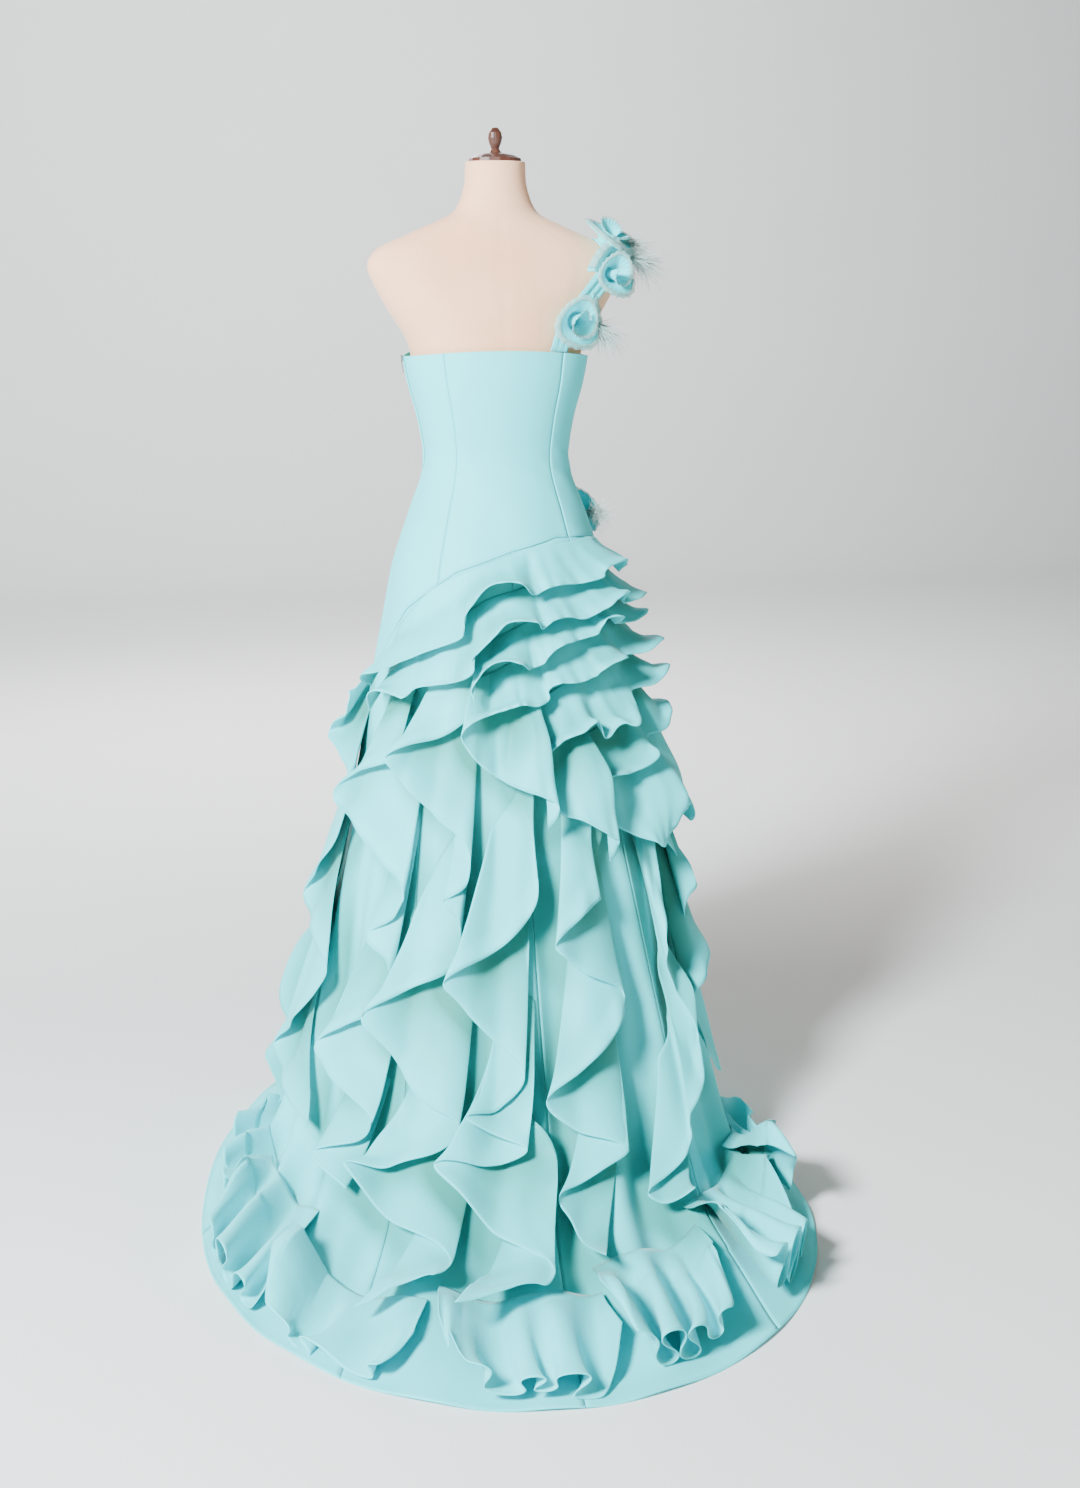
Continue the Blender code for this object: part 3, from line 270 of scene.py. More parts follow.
# name, place, place it points at, width, power in watts, colour
LAMPS = [
    ("key", (2.7, 2.9, 3.0), (0, 0.2, 0.6), 1.0, 760, (0.90, 0.97, 1.0)),
    ("fill", (-3.2, 1.2, 1.6), (0, 0.2, 0.7), 1.6, 26, (1.0, 0.78, 0.56)),
    ("front", (0.6, -3.6, 2.6), (0, 0, 0.8), 2.0, 84, (1.0, 0.98, 0.95)),
    ("backdrop", (0, -2.2, 3.6), (0, -6.5, 1.6), 3.0, 320, (1.0, 1.0, 1.0)),
]

# Panels between upright seams: name, turn from, turn to
BODICE = [
    ("bodice_centre_back", -40, 40), ("bodice_side_back_left", 40, 90),
    ("bodice_side_front_left", 90, 135), ("bodice_centre_front", 135, 225),
    ("bodice_side_front_right", 225, 270), ("bodice_side_back_right", 270, 320),
]
GORES = [
    ("skirt_gore_back_left", 0, 40), ("skirt_gore_left_back", 40, 90),
    ("skirt_gore_left_front", 90, 135), ("skirt_gore_front_left", 135, 180),
    ("skirt_gore_front_right", 180, 225), ("skirt_gore_right_front", 225, 270),
    ("skirt_gore_right_back", 270, 320), ("skirt_gore_back_right", 320, 360),
]


# Skin and form

def smooth_rows(table, at):
    """Catmull-Rom curve through the rows of a table, read at a row number."""
    last = len(table) - 1
    at = np.clip(np.asarray(at, float), 0, last)
    i = np.minimum(at.astype(int), last - 1)
    f = (at - i)[..., None]
    p0, p1 = table[np.maximum(i - 1, 0)], table[i]
    p2, p3 = table[i + 1], table[np.minimum(i + 2, last)]
    square = 2 * p0 - 5 * p1 + 4 * p2 - p3
    cube = 3 * p1 - p0 - 3 * p2 + p3
    return 0.5 * (2 * p1 + (p2 - p0) * f + square * f**2 + cube * f**3)


def unit(vectors):
    """The vectors' directions, each of length one."""
    return vectors / np.maximum(np.linalg.norm(vectors, axis=-1, keepdims=True), 1e-12)


def between(grid, row, column):
    """A grid read between its points; its last row is followed by its first."""
    i, j = row.astype(int), column.astype(int)
    past_row, past_column = row - i, column - j
    k, m = (i + 1) % grid.shape[0], np.minimum(j + 1, grid.shape[1] - 1)
    low = grid[i, j] * (1 - past_row) + grid[k, j] * past_row
    high = grid[i, m] * (1 - past_row) + grid[k, m] * past_row
    return low * (1 - past_column) + high * past_column


RING_VALUES = np.array([row[1:] for row in RINGS])
FORM_VALUES = np.array([row[1:] for row in FORM])


def skin(turn, station):
    """Half an ellipse behind and half in front of each ring, its height rounded sine-wise."""
    angle = np.radians(turn)
    rows = smooth_rows(RING_VALUES, station)
    z_side, z_back, z_front, half, back, front, centre_y, centre_x = np.moveaxis(rows, -1, 0)
    s, c = np.sin(angle), np.cos(angle)
    reach = np.where(c > 0, back - centre_y, front + centre_y)
    z_end = np.where(c > 0, z_back, z_front)
    z = np.maximum(z_side * s**2 + z_end * c**2, 0)
    return np.stack([centre_x + half * s, centre_y + reach * c, z], -1)


def outward(turn, station):
    """Unit normals of the skin: the cross product of its slopes round and down."""
    down = 0.02
    across = skin(turn + 1.0, station) - skin(turn - 1.0, station)
    along = skin(turn, np.minimum(station + down, HEM_STATION)) - skin(turn, station - down)
    return unit(np.cross(across, along))


def place(turn, station, lift):
    """Points that stand off the skin by a lift, along its normals."""
    turn, station = np.asarray(turn, float), np.asarray(station, float)
    return skin(turn, station) + outward(turn, station) * np.asarray(lift, float)[..., None]


def diagonal(turn):
    """Station of the seam between bodice and skirt."""
    return np.interp((np.asarray(turn, float) + 180) % 360 - 180, *np.transpose(DIAGONAL))


def form_skin(turn, row):
    """The form's surface: an ellipse at each height, deeper behind or in front."""
    angle = np.radians(turn)
    z, half, back, front = np.moveaxis(smooth_rows(FORM_VALUES, row), -1, 0)
    c = np.cos(angle)
    return np.stack([half * np.sin(angle), np.where(c > 0, back, front) * c, z + 0 * c], -1)


def ease(x, low, high):
    """Nothing below low, one above high, and a smooth S between."""
    t = np.clip((x - low) / (high - low), 0, 1)
    return t * t * (3 - 2 * t)


# Meshes

def lengths(points, axis):
    """Distance run along one direction of a grid, from its first line."""
    steps = np.linalg.norm(np.diff(points, axis=axis), axis=-1)
    start = np.zeros_like(np.take(steps, [0], axis=axis))
    return np.cumsum(np.concatenate([start, steps], axis=axis), axis=axis)


def grid_normals(points):
    """Cross product of a grid's two slopes, its second axis first."""
    return unit(np.cross(np.gradient(points, axis=0), np.gradient(points, axis=1)))


def link(name, mesh, material):
    """An object with one material, at the origin."""
    piece = bpy.data.objects.new(name, mesh)
    bpy.context.collection.objects.link(piece)
    mesh.materials.append(material)
    return piece


def grid_faces(rows, columns):
    """Quads between the points of a grid, by number along its second axis first."""
    i, j = np.meshgrid(np.arange(rows - 1), np.arange(columns - 1), indexing="ij")
    corner = (i * columns + j).ravel()
    return np.stack([corner, corner + columns, corner + columns + 1, corner + 1], -1)


def sharpen(mesh, first, faces):
    """Shades a mesh smooth but for its faces from a number on."""
    mesh.shade_smooth()
    flat = np.arange(faces) >= first
    mesh.attributes.new("sharp_face", "BOOLEAN", "FACE").data.foreach_set("value", flat)


def unfold(mesh, spread):
    """A UV map from two distances at each vertex."""
    corners = np.empty(len(mesh.loops), np.int32)
    mesh.loops.foreach_get("vertex_index", corners)
    mesh.uv_layers.new(name="cloth").data.foreach_set("uv", spread[corners].ravel())


def cloth(name, points, material, wall, away=None):
    """A wall between a grid of points and the same grid moved out along its normals.

    Its first axis runs along the hem and its second from the root to the hem. The UV map holds
    the distance run along the hem and the distance up from it, in metres; the attribute
    'under' is one on the wall's inner side."""
    rows, columns = points.shape[:2]
    normal = grid_normals(points)
    if away is not None and np.sum(normal * away) < 0:
        points, normal = points[::-1], -normal[::-1]
    both = np.concatenate([(points + normal * wall).reshape(-1, 3), points.reshape(-1, 3)])
    outer = grid_faces(rows, columns)
    total = rows * columns
    inner = outer[:, ::-1] + total
    rim = np.concatenate([
        np.arange(rows) * columns,
        (rows - 1) * columns + np.arange(1, columns),
        np.arange(rows - 2, -1, -1) * columns + columns - 1,
        np.arange(columns - 2, 0, -1),
    ])
    ahead = np.roll(rim, -1)
    edge = np.stack([ahead, rim, rim + total, ahead + total], -1)
    faces = np.concatenate([outer, inner, edge])
    mesh = bpy.data.meshes.new(name)
    mesh.from_pydata(both.tolist(), [], faces.tolist())
    sharpen(mesh, 2 * len(outer), len(faces))
    under = np.repeat([0.0, 1.0], total)
    mesh.attributes.new("under", "FLOAT", "POINT").data.foreach_set("value", under)
    run = np.broadcast_to(lengths(points, 0)[:, -1:], (rows, columns))
    fall = lengths(points, 1)
    spread = np.stack([run, fall[:, -1:] - fall], -1).reshape(-1, 2)
    unfold(mesh, np.concatenate([spread, spread]))
    return link(name, mesh, material)


def solid(name, points, material):
    """A closed surface: a grid whose first axis closes on itself, capped at both ends."""
    rows, columns = points.shape[:2]
    i, j = np.meshgrid(np.arange(rows), np.arange(columns - 1), indexing="ij")
    here, there = i * columns + j, (i + 1) % rows * columns + j
    faces = np.stack([here, there, there + 1, here + 1], -1).reshape(-1, 4).tolist()
    low, high = np.arange(rows) * columns, np.arange(rows) * columns + columns - 1
    faces += [low[::-1].tolist(), high.tolist()]
    mesh = bpy.data.meshes.new(name)
    mesh.from_pydata(points.reshape(-1, 3).tolist(), [], faces)
    sharpen(mesh, len(faces) - 2, len(faces))
    return link(name, mesh, material)


def cut_size(points):
    """The piece laid flat: its mean lengths both ways and the area between them."""
    width = lengths(points, 0)[-1].mean()
    length = lengths(points, 1)[:, -1].mean()
    a = points[1:, :-1] - points[:-1, :-1]
    b = points[:-1, 1:] - points[:-1, :-1]
    c = points[1:, :-1] - points[1:, 1:]
    d = points[:-1, 1:] - points[1:, 1:]
    area = 0.5 * (np.linalg.norm(np.cross(a, b), axis=-1)
                  + np.linalg.norm(np.cross(c, d), axis=-1)).sum()
    return (max(float(width), LEAST_SIDE), max(float(length), LEAST_SIDE)), float(area)


def belong(piece, node=None):
    """Fixes a piece to the body and in place of its solid."""
    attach(piece, "root")
    if node:
        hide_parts(node)


def declare(points, rests_on):
    """Works out the flat size and area that a piece of cloth was cut to; neither is kept."""
    flat, area = cut_size(points)
    whole = flat[0] * flat[1]
    area = min(max(area, LEAST_SHARE * whole), whole)


def dress_piece(node, points, rests_on, wall=FLOUNCE_WALL, away=None):
    """One piece of crepe in place of its solid; the size it was cut to is worked out but not kept.
    """
    piece = cloth(node + "_cloth", points, CREPE, wall, away)
    belong(piece, node)
    declare(points, rests_on)
    return piece


# Materials

class Value:
    """A socket whose arithmetic adds Math nodes."""

    def __init__(self, tree, socket):
        self.tree, self.socket = tree, socket

    def math(self, operation, *values):
        """A Math node on the given values and links."""
        made = self.tree.nodes.new("ShaderNodeMath")
        made.operation = operation
        for slot, value in zip(made.inputs, values):
            if isinstance(value, Value):
                self.tree.links.new(value.socket, slot)
            else:
                slot.default_value = value
        return Value(self.tree, made.outputs[0])

    def __add__(self, other):
        return self.math("ADD", self, other)

    def __sub__(self, other):
        return self.math("SUBTRACT", self, other)

    def __rsub__(self, other):
        return self.math("SUBTRACT", other, self)

    def __mul__(self, other):
        return self.math("MULTIPLY", self, other)

    __radd__, __rmul__ = __add__, __mul__

    def sine(self):
        return self.math("SINE", self)

    def step(self, low, high):
        """Nothing below low, one above high, smooth between."""
        made = self.tree.nodes.new("ShaderNodeMapRange")
        made.interpolation_type = "SMOOTHSTEP"
        made.inputs["From Min"].default_value = low
        made.inputs["From Max"].default_value = high
        self.tree.links.new(self.socket, made.inputs["Value"])
        return Value(self.tree, made.outputs["Result"])


class Finish:
    """A material whose nodes are made by one method."""

    def __init__(self, name, roughness, **fixed):
        self.material = bpy.data.materials.new(name)
        self.material.use_nodes = True
        self.tree = self.material.node_tree
        self.shader = self.tree.nodes["Principled BSDF"]
        self.shader.inputs["Roughness"].default_value = roughness
        for socket, value in fixed.items():
            self.shader.inputs[socket.replace("_", " ")].default_value = value

    def node(self, kind, settings=None, **values):
        """A shader node: its type, its settings, then its sockets by name or by _number."""
        made = self.tree.nodes.new("ShaderNode" + kind)
        for key, value in (settings or {}).items():
            setattr(made, key, value)
        for key, value in values.items():
            slot = made.inputs[int(key[1:])] if key[0] == "_" else made.inputs[key]
            if isinstance(value, Value):
                self.tree.links.new(value.socket, slot)
            else:
                slot.default_value = value
        return made

    def out(self, kind, output=0, settings=None, **values):
        return Value(self.tree, self.node(kind, settings, **values).outputs[output])

    def noise(self, place, scale, detail=3.0, roughness=0.5):
        return self.out("TexNoise", 0, None, Vector=place, Scale=scale, Detail=detail,
                        Roughness=roughness)

    def place(self):
        return self.out("TexCoord", "Object")

    def parts(self, vector):
        """The numbers of a vector, each by itself."""
        return [Value(self.tree, number) for number in self.node("SeparateXYZ", _0=vector).outputs]

    def spread(self):
        """The distance run along the hem and the distance up from it, from the UV map."""
        return self.parts(self.out("UVMap", 0, {"uv_map": "cloth"}))[:2]

    def mix(self, share, first, second):
        """Two colours mixed by a value."""
        return self.out("Mix", 2, {"data_type": "RGBA"}, _0=share, _6=first, _7=second)

    def set(self, socket, value):
        self.tree.links.new(value.socket, self.shader.inputs[socket])

    def tint(self, colour, shade):
        """The base colour, made lighter or darker by a value."""
        scaled = self.out("VectorMath", 0, {"operation": "SCALE"}, _0=colour, Scale=shade)
        self.set("Base Color", scaled)

    def bump(self, height, distance, strength=1.0):
        normal = self.out("Bump", 0, None, Strength=strength, Distance=distance, Height=height)
        self.set("Normal", normal)


def rgb(red, green, blue):
    return (red, green, blue, 1.0)


def crepe(name, outer, inner):
    """Dull crepe: a pebbled grain, faint mottling, a folded hem with a row of stitches, and
    painted shade in a second, darker colour. It is mixed in on the wrong side, a little at the hem
    and more further up into the fold, and wherever the attribute 'deep' says that other layers lie
    over a place."""
    finish = Finish(name, 0.58, Sheen_Weight=0.14, Sheen_Roughness=0.45,
                    Specular_IOR_Level=0.22)
    place = finish.place()
    grain = finish.noise(place, 1400.0, 2.0, 0.6)
    mottle = finish.noise(place, 9.0, 3.0, 0.55)
    run, fall = finish.spread()
    folded = 1 - fall.step(HEM_FOLD - 0.0007, HEM_FOLD + 0.0007)
    beat = run.math("FRACT", run * STITCHES_PER_METRE)
    dash = beat.step(0.10, 0.22) * (1 - beat.step(0.70, 0.84))
    near = fall.math("ABSOLUTE", fall - (HEM_FOLD - 0.0016))
    stitch = (1 - near.step(0.0003, 0.0009)) * dash
    under = finish.out("Attribute", "Fac", {"attribute_name": "under"})
    deep = finish.out("Attribute", "Fac", {"attribute_name": "deep"})
    # painted shade on the wrong side: slight at the hem, darker further up into the fold
    wrong_side_painted_shade = under * (0.06 + fall.step(0.010, 0.110) * 0.40)
    # the inner colour is painted shade, laid on by the wrong side's painted shade and by 'deep',
    # the painted shade under overlying layers
    colour = finish.mix(wrong_side_painted_shade + deep * 0.85, rgb(*outer), rgb(*inner))
    shade = (mottle - 0.5) * 0.10 + 1.0 - stitch * 0.16 - (grain - 0.5) * 0.10
    finish.tint(colour, shade)
    finish.set("Roughness", 0.62 - mottle * 0.10 + grain * 0.06)
    finish.bump(grain * 0.16 + folded * 0.50 - stitch * 0.45 + mottle * 0.5, 0.0007, 0.75)
    return finish.material


def linen():
    """A close plain weave, stretched: two sets of threads at right angles, and soft stains."""
    finish = Finish("form_linen_cover", 0.86, Sheen_Weight=0.25, Sheen_Roughness=0.5,
                    Specular_IOR_Level=0.2)
    place = finish.place()
    across, _, up = finish.parts(place)
    warp, weft = (across * LINEN_THREADS).sine(), (up * LINEN_THREADS).sine()
    slub = finish.noise(place, 180.0, 4.0, 0.6)
    stain = finish.noise(place, 6.0, 3.0, 0.5)
    colour = finish.mix(stain.step(0.35, 0.75), rgb(1.0, 0.58, 0.36), rgb(0.95, 0.50, 0.29))
    shade = 0.94 + slub * 0.12 + warp * weft * 0.02
    finish.tint(colour, shade)
    finish.set("Roughness", 0.82 + slub * 0.10)
    finish.bump(warp * 0.15 + weft * 0.15 + slub * 0.5, 0.0006, 0.5)
    return finish.material


def dark_wood():
    """Turned wood under varnish, its grain in long streaks up the piece."""
    finish = Finish("finial_wood", 0.34, Coat_Weight=0.4, Coat_Roughness=0.2)
    stretched = finish.out("Mapping", 0, None, Vector=finish.place(), Scale=(90.0, 90.0, 14.0))
    grain = finish.noise(stretched, 1.0, 5.0, 0.6)
    finish.set("Base Color", finish.mix(grain.step(0.3, 0.7), rgb(0.055, 0.018, 0.012),
                                        rgb(0.120, 0.045, 0.028)))
    finish.set("Roughness", 0.30 + grain * 0.15)
    finish.bump(grain, 0.0006, 0.3)
    return finish.material


def satin_steel():
    """Grey satin steel, rolled round, with light wear."""
    finish = Finish("stand_satin_steel", 0.4, Metallic=1.0)
    place = finish.place()
    brushed = finish.noise(finish.out("Mapping", 0, None, Vector=place,
                                      Scale=(40.0, 40.0, 900.0)), 1.0, 3.0, 0.6)
    scuffs = finish.noise(place, 24.0, 5.0, 0.65)
    finish.set("Base Color", finish.mix(scuffs.step(0.45, 0.7), rgb(0.36, 0.36, 0.37),
                                        rgb(0.26, 0.26, 0.27)))
    finish.set("Roughness", 0.30 + brushed * 0.14 + scuffs * 0.12)
    finish.bump(brushed, 0.0003, 0.3)
    return finish.material


def plume(name, tip, base):
    """Feather strands, paler towards the tip of each, slightly uneven in tone."""
    finish = Finish(name, 0.7, Sheen_Weight=0.3, Sheen_Roughness=0.4)
    share = finish.spread()[1]
    tone = finish.noise(finish.place(), 60.0, 2.0, 0.5)
    colour = finish.mix(share, rgb(*base), rgb(*tip))
    finish.tint(colour, 0.80 + tone * 0.4)
    finish.set("Roughness", 0.60 + tone * 0.2)
    return finish.material


def organza(name):
    """Sheer organza: an open plain weave that lets more than half of what lies behind through."""
    finish = Finish(name, 0.45, Specular_IOR_Level=0.4)
    run, fall = finish.spread()
    warp, weft = (run * ORGANZA_THREADS).sine(), (fall * ORGANZA_THREADS).sine()
    cloud = finish.noise(finish.place(), 120.0, 2.0, 0.5)
    finish.set("Base Color", finish.mix(cloud, rgb(0.30, 0.66, 0.64), rgb(0.50, 0.80, 0.78)))
    finish.set("Alpha", 0.36 + cloud * 0.25 + warp * weft * 0.06)
    return finish.material


# the second colour is the crepe's painted shade colour, for its wrong side and for places under
# overlying layers
CREPE = crepe("mint_crepe_cloth", (0.065, 0.830, 0.900), (0.030, 0.300, 0.255))
ORGANZA = organza("sheer_organza")
MARABOU = plume("marabou_strands", (0.70, 0.80, 0.76), (0.26, 0.50, 0.47))
LINEN = linen()
WOOD = dark_wood()
STEEL = satin_steel()


# Form and stand

def torso():
    """The linen cover: form_skin on a fine grid, with shallow grooves along its seams."""
    turn = np.linspace(0, 360, 144, endpoint=False)[:, None]
    row = np.linspace(0, len(FORM) - 1, 170)[None, :]
    points = form_skin(turn + 0 * row, row + 0 * turn)
    out = unit(points * (1, 1, 0))
    groove = 0 * (turn + row)
    for seam in (0, 38, 90, 142, 180, 218, 270, 322):
        gap = (turn - seam + 180) % 360 - 180
        groove = groove + np.exp(-(gap / 1.3)**2) * (row < 14.5)
    points = points - out * (groove * 0.0009)[..., None]
    belong(solid("form_cover", points, LINEN), "form_torso")


def repaint(node, material):
    """Gives a solid that stays its own finish."""
    mesh = bpy.data.objects[node].data
    mesh.materials.clear()
    mesh.materials.append(material)


# Bodice and underskirt

def flutes(turn, station):
    """Soft upright folds of the underskirt: uneven waves round it, strongest above the train
    and gone at the hem and above the knee, and finer ones between."""
    strength = ease(station, 7.6, 11.2) * (1 - ease(station, 12.9, 13.9))
    wave = 0.5 + 0.5 * np.sin(np.radians(turn * 15 + 55 * np.sin(np.radians(turn * 4 + 20))))
    small = 0.5 + 0.5 * np.sin(np.radians(turn * 37 + 70))
    return strength * (FLUTE_DEPTH * wave**1.5 + FINE_FLUTE_DEPTH * small)


def hem_ripples(turn, station):
    """Low swells of the train where it lies on the floor."""
    strength = ease(station, 12.9, 13.7)
    wave = np.sin(np.radians(turn * 17 + 30 * np.sin(np.radians(turn * 5))))
    return RIPPLE_HEIGHT * strength * (1 + wave)


def wall_grid(turn_from, turn_to, top, bottom, columns, rows):
    """Turns and stations of a length of the gown's wall; the hem is the second axis's end."""
    turn = np.linspace(turn_from, turn_to, columns)[:, None] + np.zeros((1, rows))
    width = np.linalg.norm(skin(turn + 0.5, top(turn)) - skin(turn - 0.5, top(turn)), axis=-1)
    gap = 0.6 * SEAM / np.maximum(width, 1e-4)
    turn = turn + gap * np.linspace(1, -1, columns)[:, None]
    share = np.linspace(0, 1, rows)[None, :]
    start, end = top(turn), bottom(turn)
    return turn, start + (end - start) * share


def bodice():
    """Six panels, each drawn in a little at its seams, with faint stretch creases at the waist."""
    for name, turn_from, turn_to in BODICE:
        turn, station = wall_grid(turn_from, turn_to, lambda t: 0 * t,
                                  lambda t: diagonal(t) - 0.004, 40, 110)
        near = np.minimum(turn - turn_from, turn_to - turn)
        dip = 0.0006 * np.exp(-(near / 0.6)**2)
        crease = 0.0007 * np.exp(-((station - 3.0) / 0.55)**2) * np.sin(
            11 * station + turn / 9) * ease(near, 2, 10)
        drag = 0.0010 * ease(station, 3.2, 4.4) * np.sin(turn / 7.5 + station * 2.2)
        points = place(turn, station, 0.0006 - dip + crease + drag * ease(near, 1, 8))
        dress_piece(name, points, ["form_cover"], BODICE_WALL)


def underskirt(pile):
    """Eight gores from the slanting seam to the hem, the floor under every flounce."""
    for name, turn_from, turn_to in GORES:
        turn, station = wall_grid(turn_from, turn_to, lambda t: diagonal(t) + 0.004,
                                  lambda t: 0 * t + HEM_STATION, 44, 120)
        lift = flutes(turn, station) + hem_ripples(turn, station)
        piece = dress_piece(name, place(turn, station, lift), ["form_cover"], GORE_WALL)
        pile.pieces.append((piece, turn, station, lift))


# Flounces

class Pile:
    """How high the flounces already laid reach over each place of the skin."""
    TURN_STEP, STATION_STEP, TOP = 1.0, 0.025, 3.5

    def __init__(self):
        turn = np.arange(0, 360, self.TURN_STEP)[:, None] - 180
        station = np.arange(self.TOP, HEM_STATION, self.STATION_STEP)[None, :]
        self.height = flutes(turn + 0 * station, station + 0 * turn) + 0.0020
        self.smoothed = self.height
        self.pieces = []

    def add(self, turn, station, lift):
        """Keeps the highest of a flounce's grid, read finely between its points."""
        u = np.linspace(0, lift.shape[0] - 1, 3 * lift.shape[0])[:, None]
        v = np.linspace(0, lift.shape[1] - 1, 3 * lift.shape[1])[None, :]
        turn, station, lift = (between(grid, u, v) for grid in (turn, station, lift))
        at_turn = np.round((turn + 180) / self.TURN_STEP).astype(int)
        at_station = np.round((station - self.TOP) / self.STATION_STEP).astype(int)
        at_turn %= self.height.shape[0]
        at_station = np.clip(at_station, 0, self.height.shape[1] - 1)
        np.maximum.at(self.height, (at_turn, at_station), lift + CLEAR)
        wide = self.height
        for combine in (np.max, np.mean):
            for axis, reach in ((0, 3), (1, 5)):
                wide = combine([np.roll(wide, n, axis) for n in range(-reach, reach + 1)], axis=0)
        self.smoothed = np.maximum(wide, self.height)

    def over(self, turn, station):
        """The height to start a new layer from."""
        rows, columns = self.smoothed.shape
        at_turn = ((turn + 180) / self.TURN_STEP) % rows
        at_station = np.clip((station - self.TOP) / self.STATION_STEP, 0, columns - 1.001)
        return between(self.smoothed, at_turn, at_station)


def laid(name, turn, station, lift, pile, rests_on):
    """Adds a piece to the pile, its outer side turned away from the skin."""
    points = place(turn, station, lift)
    if np.sum(grid_normals(points) * outward(turn, station)) < 0:
        turn, station, lift, points = turn[::-1], station[::-1], lift[::-1], points[::-1]
    pile.add(turn, station, lift)
    piece = dress_piece(name, points, rests_on)
    pile.pieces.append((piece, turn, station, lift))


def flounce(name, rows, pile, rise=None, fine=12, deep=26):
    """A strip from its sewn root to its waving hem. Each row of the table is a fold; the lift
    grows as a power of the way down, a low one on the crests, which stand out at once, and a
    high one in the hollows, over what already lies there. Small creases fan out from the root,
    and the crests roll outwards along the hem."""
    rows = np.array(rows, float)
    u = np.linspace(0, len(rows) - 1, (len(rows) - 1) * fine + 1)
    folds = smooth_rows(rows, u)[:, None, :]
    v = np.linspace(0, 1, deep)[None, :]
    hem_turn, hem_station, hem_lift, root_turn, root_station = np.moveaxis(folds, -1, 0)
    turn = root_turn + (hem_turn - root_turn) * v
    station = root_station + (hem_station - root_station) * v
    seed = sum(map(ord, name))
    crease = 0.0016 * np.sin(u[:, None] * 5.3 + seed + 1.5 * v) * v * (1.3 - v)
    ripple = 0.0014 * np.sin(u[:, None] * 8.1 + seed * 1.7) * v**5
    under = pile.over(turn, station)
    power = np.interp(hem_lift, (20, 50), (1.15, 0.8)) if rise is None else rise
    roll = ease(hem_lift, 26, 46) * ease(v, 0.72, 1.0)
    own = hem_lift / 1000 * v**power + crease + ripple + 0.010 * roll
    lift = under + np.maximum(own * (1 - 0.5 * np.minimum(under / 0.06, 1)), 0)
    laid(name, turn, station - 0.10 * roll, lift, pile, ["form_cover"])


def cascade_rows(root_turn, hem, drop=1.45):
    """Rows for a cascade, a strip folded to and fro: every thread hangs down a full drop, leans
    out from the upright root line a little less than its hem, and stands well off at the hem,
    so that each fold lies over the start of the next one down."""
    seam = float(diagonal(root_turn)) + 0.05
    rows = []
    for number, (turn, station, lift) in enumerate(hem):
        near_floor = max(0.0, min(1.0, (station - 11.6) / 1.8))
        high = max(lift, 34 - 14 * near_floor)
        rows.append((turn, station, high, root_turn + 0.62 * (turn - root_turn),
                     max(station - drop, seam + 0.12 * number)))
    return rows


def tier_rows(line, hem):
    """Rows for a tier: each fold hangs from the sewn line, a little nearer its neighbours there
    than along the hem."""
    turn = np.array([row[0] for row in hem], float)
    near = np.concatenate([turn[:1], turn, turn[-1:]])
    root = 0.25 * near[:-2] + 0.5 * near[1:-1] + 0.25 * near[2:]
    height = np.interp(root, *np.transpose(line))
    return [(*row, at, station) for row, at, station in zip(hem, root, height)]


def front_tier_rows(right, middle, left, drop_right, drop_left):
    """Crests and hollows in turn, uneven in width and drop."""
    rows = []
    steps = 2 * FRONT_WAVES
    for i in range(steps + 1):
        share = i / steps
        uneven = 0.35 * math.sin(2.3 * i + FRONT_WAVES) / steps if 0 < i < steps else 0
        turn = FRONT_FROM + (FRONT_TO - FRONT_FROM) * (share + uneven)
        ends = right + (left - right) * share
        root = ends + (2 * middle - right - left) * 2 * share * (1 - share)
        drop = drop_right + (drop_left - drop_right) * share
        crest = i % 2
        lift = (40 + 6 * math.sin(1.7 * i)) if crest else 17
        rows.append((turn, root + drop * (1.05 if crest else 0.95), lift, turn, root))
    return rows


def front_cascade_rows(root_turn, first, last, tips):
    """Tips reach out towards the left side, the hollows between them stay by the root."""
    hem = []
    for i in range(2 * tips + 1):
        station = first + (last - first) * i / (2 * tips)
        tip = i % 2
        reach = (22 + 3 * math.sin(2.1 * i)) if tip else 8
        hem.append((root_turn - reach, station, 44 if tip else 18))
    return cascade_rows(root_turn, hem, 1.1)


def meander(loops, swing, columns):
    """A curve whose heading swings up and down in turn, by half a sine wave to each loop: the
    share of the width run so far, and the height as a share of the tallest loop's."""
    ends = np.concatenate([[0], np.cumsum([length for length, _ in loops])])
    fine = np.linspace(0, ends[-1], 4000)
    which = np.clip(np.searchsorted(ends, fine, side="right") - 1, 0, len(loops) - 1)
    share = (fine - ends[which]) / np.array([length for length, _ in loops])[which]
    most = np.radians([angle for _, angle in loops])[which] * np.where(which % 2, -1, 1)
    heading = most * swing * np.sin(np.pi * share)
    x = np.concatenate([[0], np.cumsum(np.cos(heading))])[:-1]
    y = np.concatenate([[0], np.cumsum(np.sin(heading))])[:-1]
    y = y - np.linspace(0, y[-1], len(y))
    at = np.linspace(0, ends[-1], columns + 1)
    return np.interp(at, fine, x / x[-1]), np.interp(at, fine, (y - y.min()) / (y.max() - y.min()))


